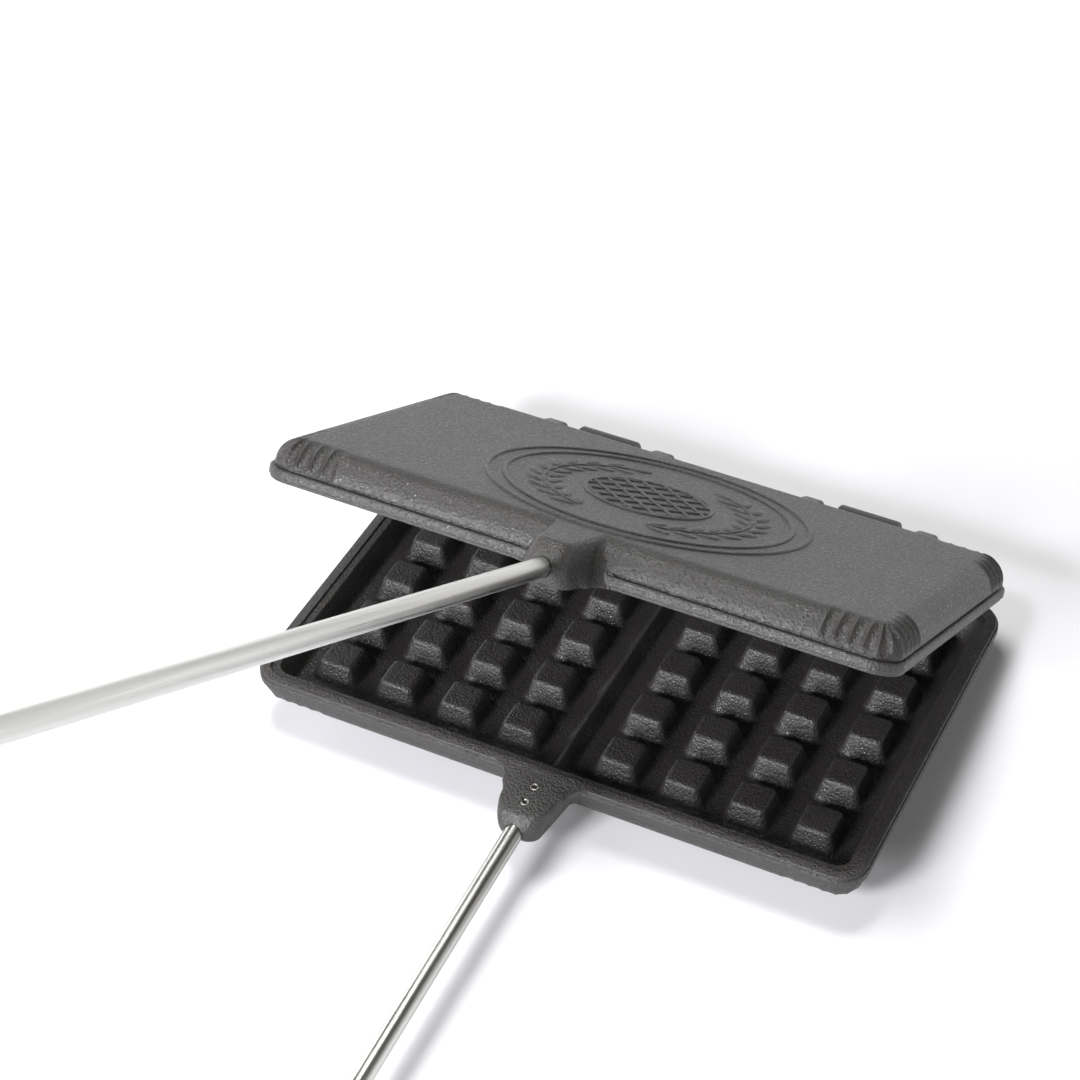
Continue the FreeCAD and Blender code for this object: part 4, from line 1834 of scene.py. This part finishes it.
@dataclass
class Studio:
    """Pale floor, soft light and the camera.

    The camera's two places are in millimetres in the lower casting frame, its roll is in degrees,
    and all other places are in metres in the row frame. The floor glows with its near glow beside
    the iron and with its far glow away from it, only to rays that show the surroundings; this glow is
    painted light, which lifts the shadow beside the iron a little and washes out the shadows that fall
    away from it. The sky goes from white at the low start to its zenith's strength at the end, by the
    height of a direction, and lights things with a share of that.
    """

    place: CastingFrame
    camera_at: tuple[float, float, float] = (282.95, -620.87, 670.61)
    aim_at: tuple[float, float, float] = (-49.61, 32.01, 0.0)
    roll: float = -1.1776
    lens: float = 95.41
    sensor: float = 36.0
    floor_half: float = 6.0
    floor_colour: tuple[float, float, float, float] = colour(0.82, 0.82, 0.83)
    floor_roughness: float = 0.9
    # Strengths of the floor's painted glow beside the iron and away from it, and the distances over which it
    # grows.
    near_painted_glow: float = 0.07
    far_painted_glow: float = 0.75
    lift_from: float = 0.19
    lift_to: float = 0.60
    sky_start: float = 0.12
    sky_end: float = 0.62
    zenith: float = 0.05
    sky_light: float = 0.35
    lamps: tuple[SoftBox, ...] = (
        SoftBox("key", at=(-0.30, 0.56, 1.64), aim=(0, 0.25, 0.03), size=(0.55, 0.55), power=20.5),
        SoftBox("front", at=(-0.36, -0.90, 0.88), aim=(0, 0.25, 0.03), size=(0.40, 0.36), power=22.0,
                tint=COOL_WHITE),
        SoftBox("low", at=(-0.45, -1.10, 0.42), aim=(0, 0.25, 0.06), size=(0.6, 0.20), power=11.0,
                tint=COOL_WHITE),
        SoftBox("side", at=(-1.50, 0.80, 0.45), aim=(0, 0.27, 0.03), size=(0.6, 0.4), power=5.0),
    )

    def add_camera(self) -> None:
        """Sets the camera at the photograph's viewing angle."""
        data = bpy.data.cameras.new("camera")
        data.lens = self.lens
        data.sensor_width = self.sensor
        data.sensor_fit = "HORIZONTAL"
        camera = bpy.data.objects.new("camera", data)
        eye = self.place.point(Vector(self.camera_at))
        view = (self.place.point(Vector(self.aim_at)) - eye).normalized()
        tilt_axis = Matrix.Rotation(-self.place.tilt, 4, "X") @ Vector((0, 0, 1))
        level = view.cross(tilt_axis).normalized()
        roll = math.radians(self.roll)
        rise = level.cross(view)
        right = level * math.cos(roll) + rise * math.sin(roll)
        up = right.cross(view)
        turn = Matrix((right, up, -view)).transposed().to_4x4()
        camera.matrix_world = Matrix.Translation(eye) @ turn
        bpy.context.scene.collection.objects.link(camera)
        bpy.context.scene.camera = camera

    def add_floor(self) -> None:
        """Lays the pale floor, which takes the object's shadow; its painted glow lifts that shadow a little
        beside the iron and washes the floor and its shadows out to white away from it.
        """
        mesh = bmesh.new()
        bmesh.ops.create_grid(mesh, x_segments=1, y_segments=1, size=self.floor_half)
        floor = mesh_object("floor", mesh)
        material = new_material("pale_floor")
        tree = NodeTree(material.node_tree)
        place = tree.node("ShaderNodeTexCoord").outputs["Object"]
        away = tree.node("ShaderNodeVectorMath", {0: place, 1: self.place.origin}, operation="DISTANCE")
        # Painted light: the floor's glow grows with distance from the iron and washes out the shadows that
        # fall away from it.
        painted_glow = tree.span(away.outputs["Value"], self.lift_from, self.lift_to, self.near_painted_glow, self.far_painted_glow)
        tree.surface({"Base Color": self.floor_colour, "Roughness": self.floor_roughness,
                      "Specular IOR Level": 0.0, "Emission Color": colour(1.0, 1.0, 1.0),
                      "Emission Strength": tree.math("MULTIPLY", self.seen_share(tree), painted_glow)})
        floor.data.materials.append(material)

    @staticmethod
    def seen_share(tree: NodeTree) -> bpy.types.NodeSocket:
        """Adds a mask of the rays that show the surroundings, straight, mirrored or through glass.

        Args:
            tree: The tree of the floor's or the sky's material.

        Returns:
            The mask, 1 for such a ray and 0 for light that falls on things.
        """
        path = tree.node("ShaderNodeLightPath")
        seen = tree.math("MAXIMUM", path.outputs["Is Camera Ray"], path.outputs["Is Glossy Ray"])
        return tree.math("MAXIMUM", seen, path.outputs["Is Transmission Ray"])

    def add_world(self) -> None:
        """Sets the sky: white down to the horizon, darker overhead, and gentle as a light."""
        world = bpy.data.worlds.new("studio")
        bpy.context.scene.world = world
        world.use_nodes = True
        tree = NodeTree(world.node_tree)
        direction = tree.node("ShaderNodeTexCoord").outputs["Generated"]
        height = tree.node("ShaderNodeSeparateXYZ", {"Vector": direction}).outputs["Z"]
        sky = tree.span(height, self.sky_start, self.sky_end, 1.0, self.zenith)
        level = tree.span(self.seen_share(tree), 0.0, 1.0, self.sky_light, 1.0)
        strength = tree.math("MULTIPLY", sky, level)
        background = tree.node("ShaderNodeBackground", {"Color": colour(1.0, 1.0, 1.0), "Strength": strength})
        tree.node("ShaderNodeOutputWorld", {"Surface": background.outputs[0]})

    def build(self) -> None:
        """Builds the whole studio."""
        self.add_camera()
        self.add_floor()
        self.add_world()
        for lamp in self.lamps:
            lamp.build()
        bpy.context.scene.view_settings.view_transform = "Standard"


def dress(pieces: list[bpy.types.Object], materials: list[bpy.types.Material]) -> None:
    """Gives pieces their materials.

    Args:
        pieces: The pieces.
        materials: Their materials, in slot order.
    """
    for piece in pieces:
        piece.data.materials.clear()
        for material in materials:
            piece.data.materials.append(material)


def main() -> None:
    """Builds the iron's looks and the studio, in order."""
    logging.basicConfig(level=logging.INFO)
    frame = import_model()
    place = CastingFrame.from_frame(frame, PlateSizes(), HingeSizes())
    grain = CastGrain().build()
    outside = CAST_SKIN.build(grain)
    inside = SEASONED_IRON_AND_SHADE.build(grain)
    steel = SteelFinish().build()
    wood = WoodFinish().build()
    for half in Half:
        casting = Casting(half, place)
        dress([casting.build()], [outside, inside])
        handle = Handle(half, place, casting).build()
        dress(handle["plated_steel"], [steel])
        dress(handle["turned_wood"], [wood])
    dress(HingePins(place).build(), [steel])
    Studio(place).build()


if __name__ == "__main__":
    main()
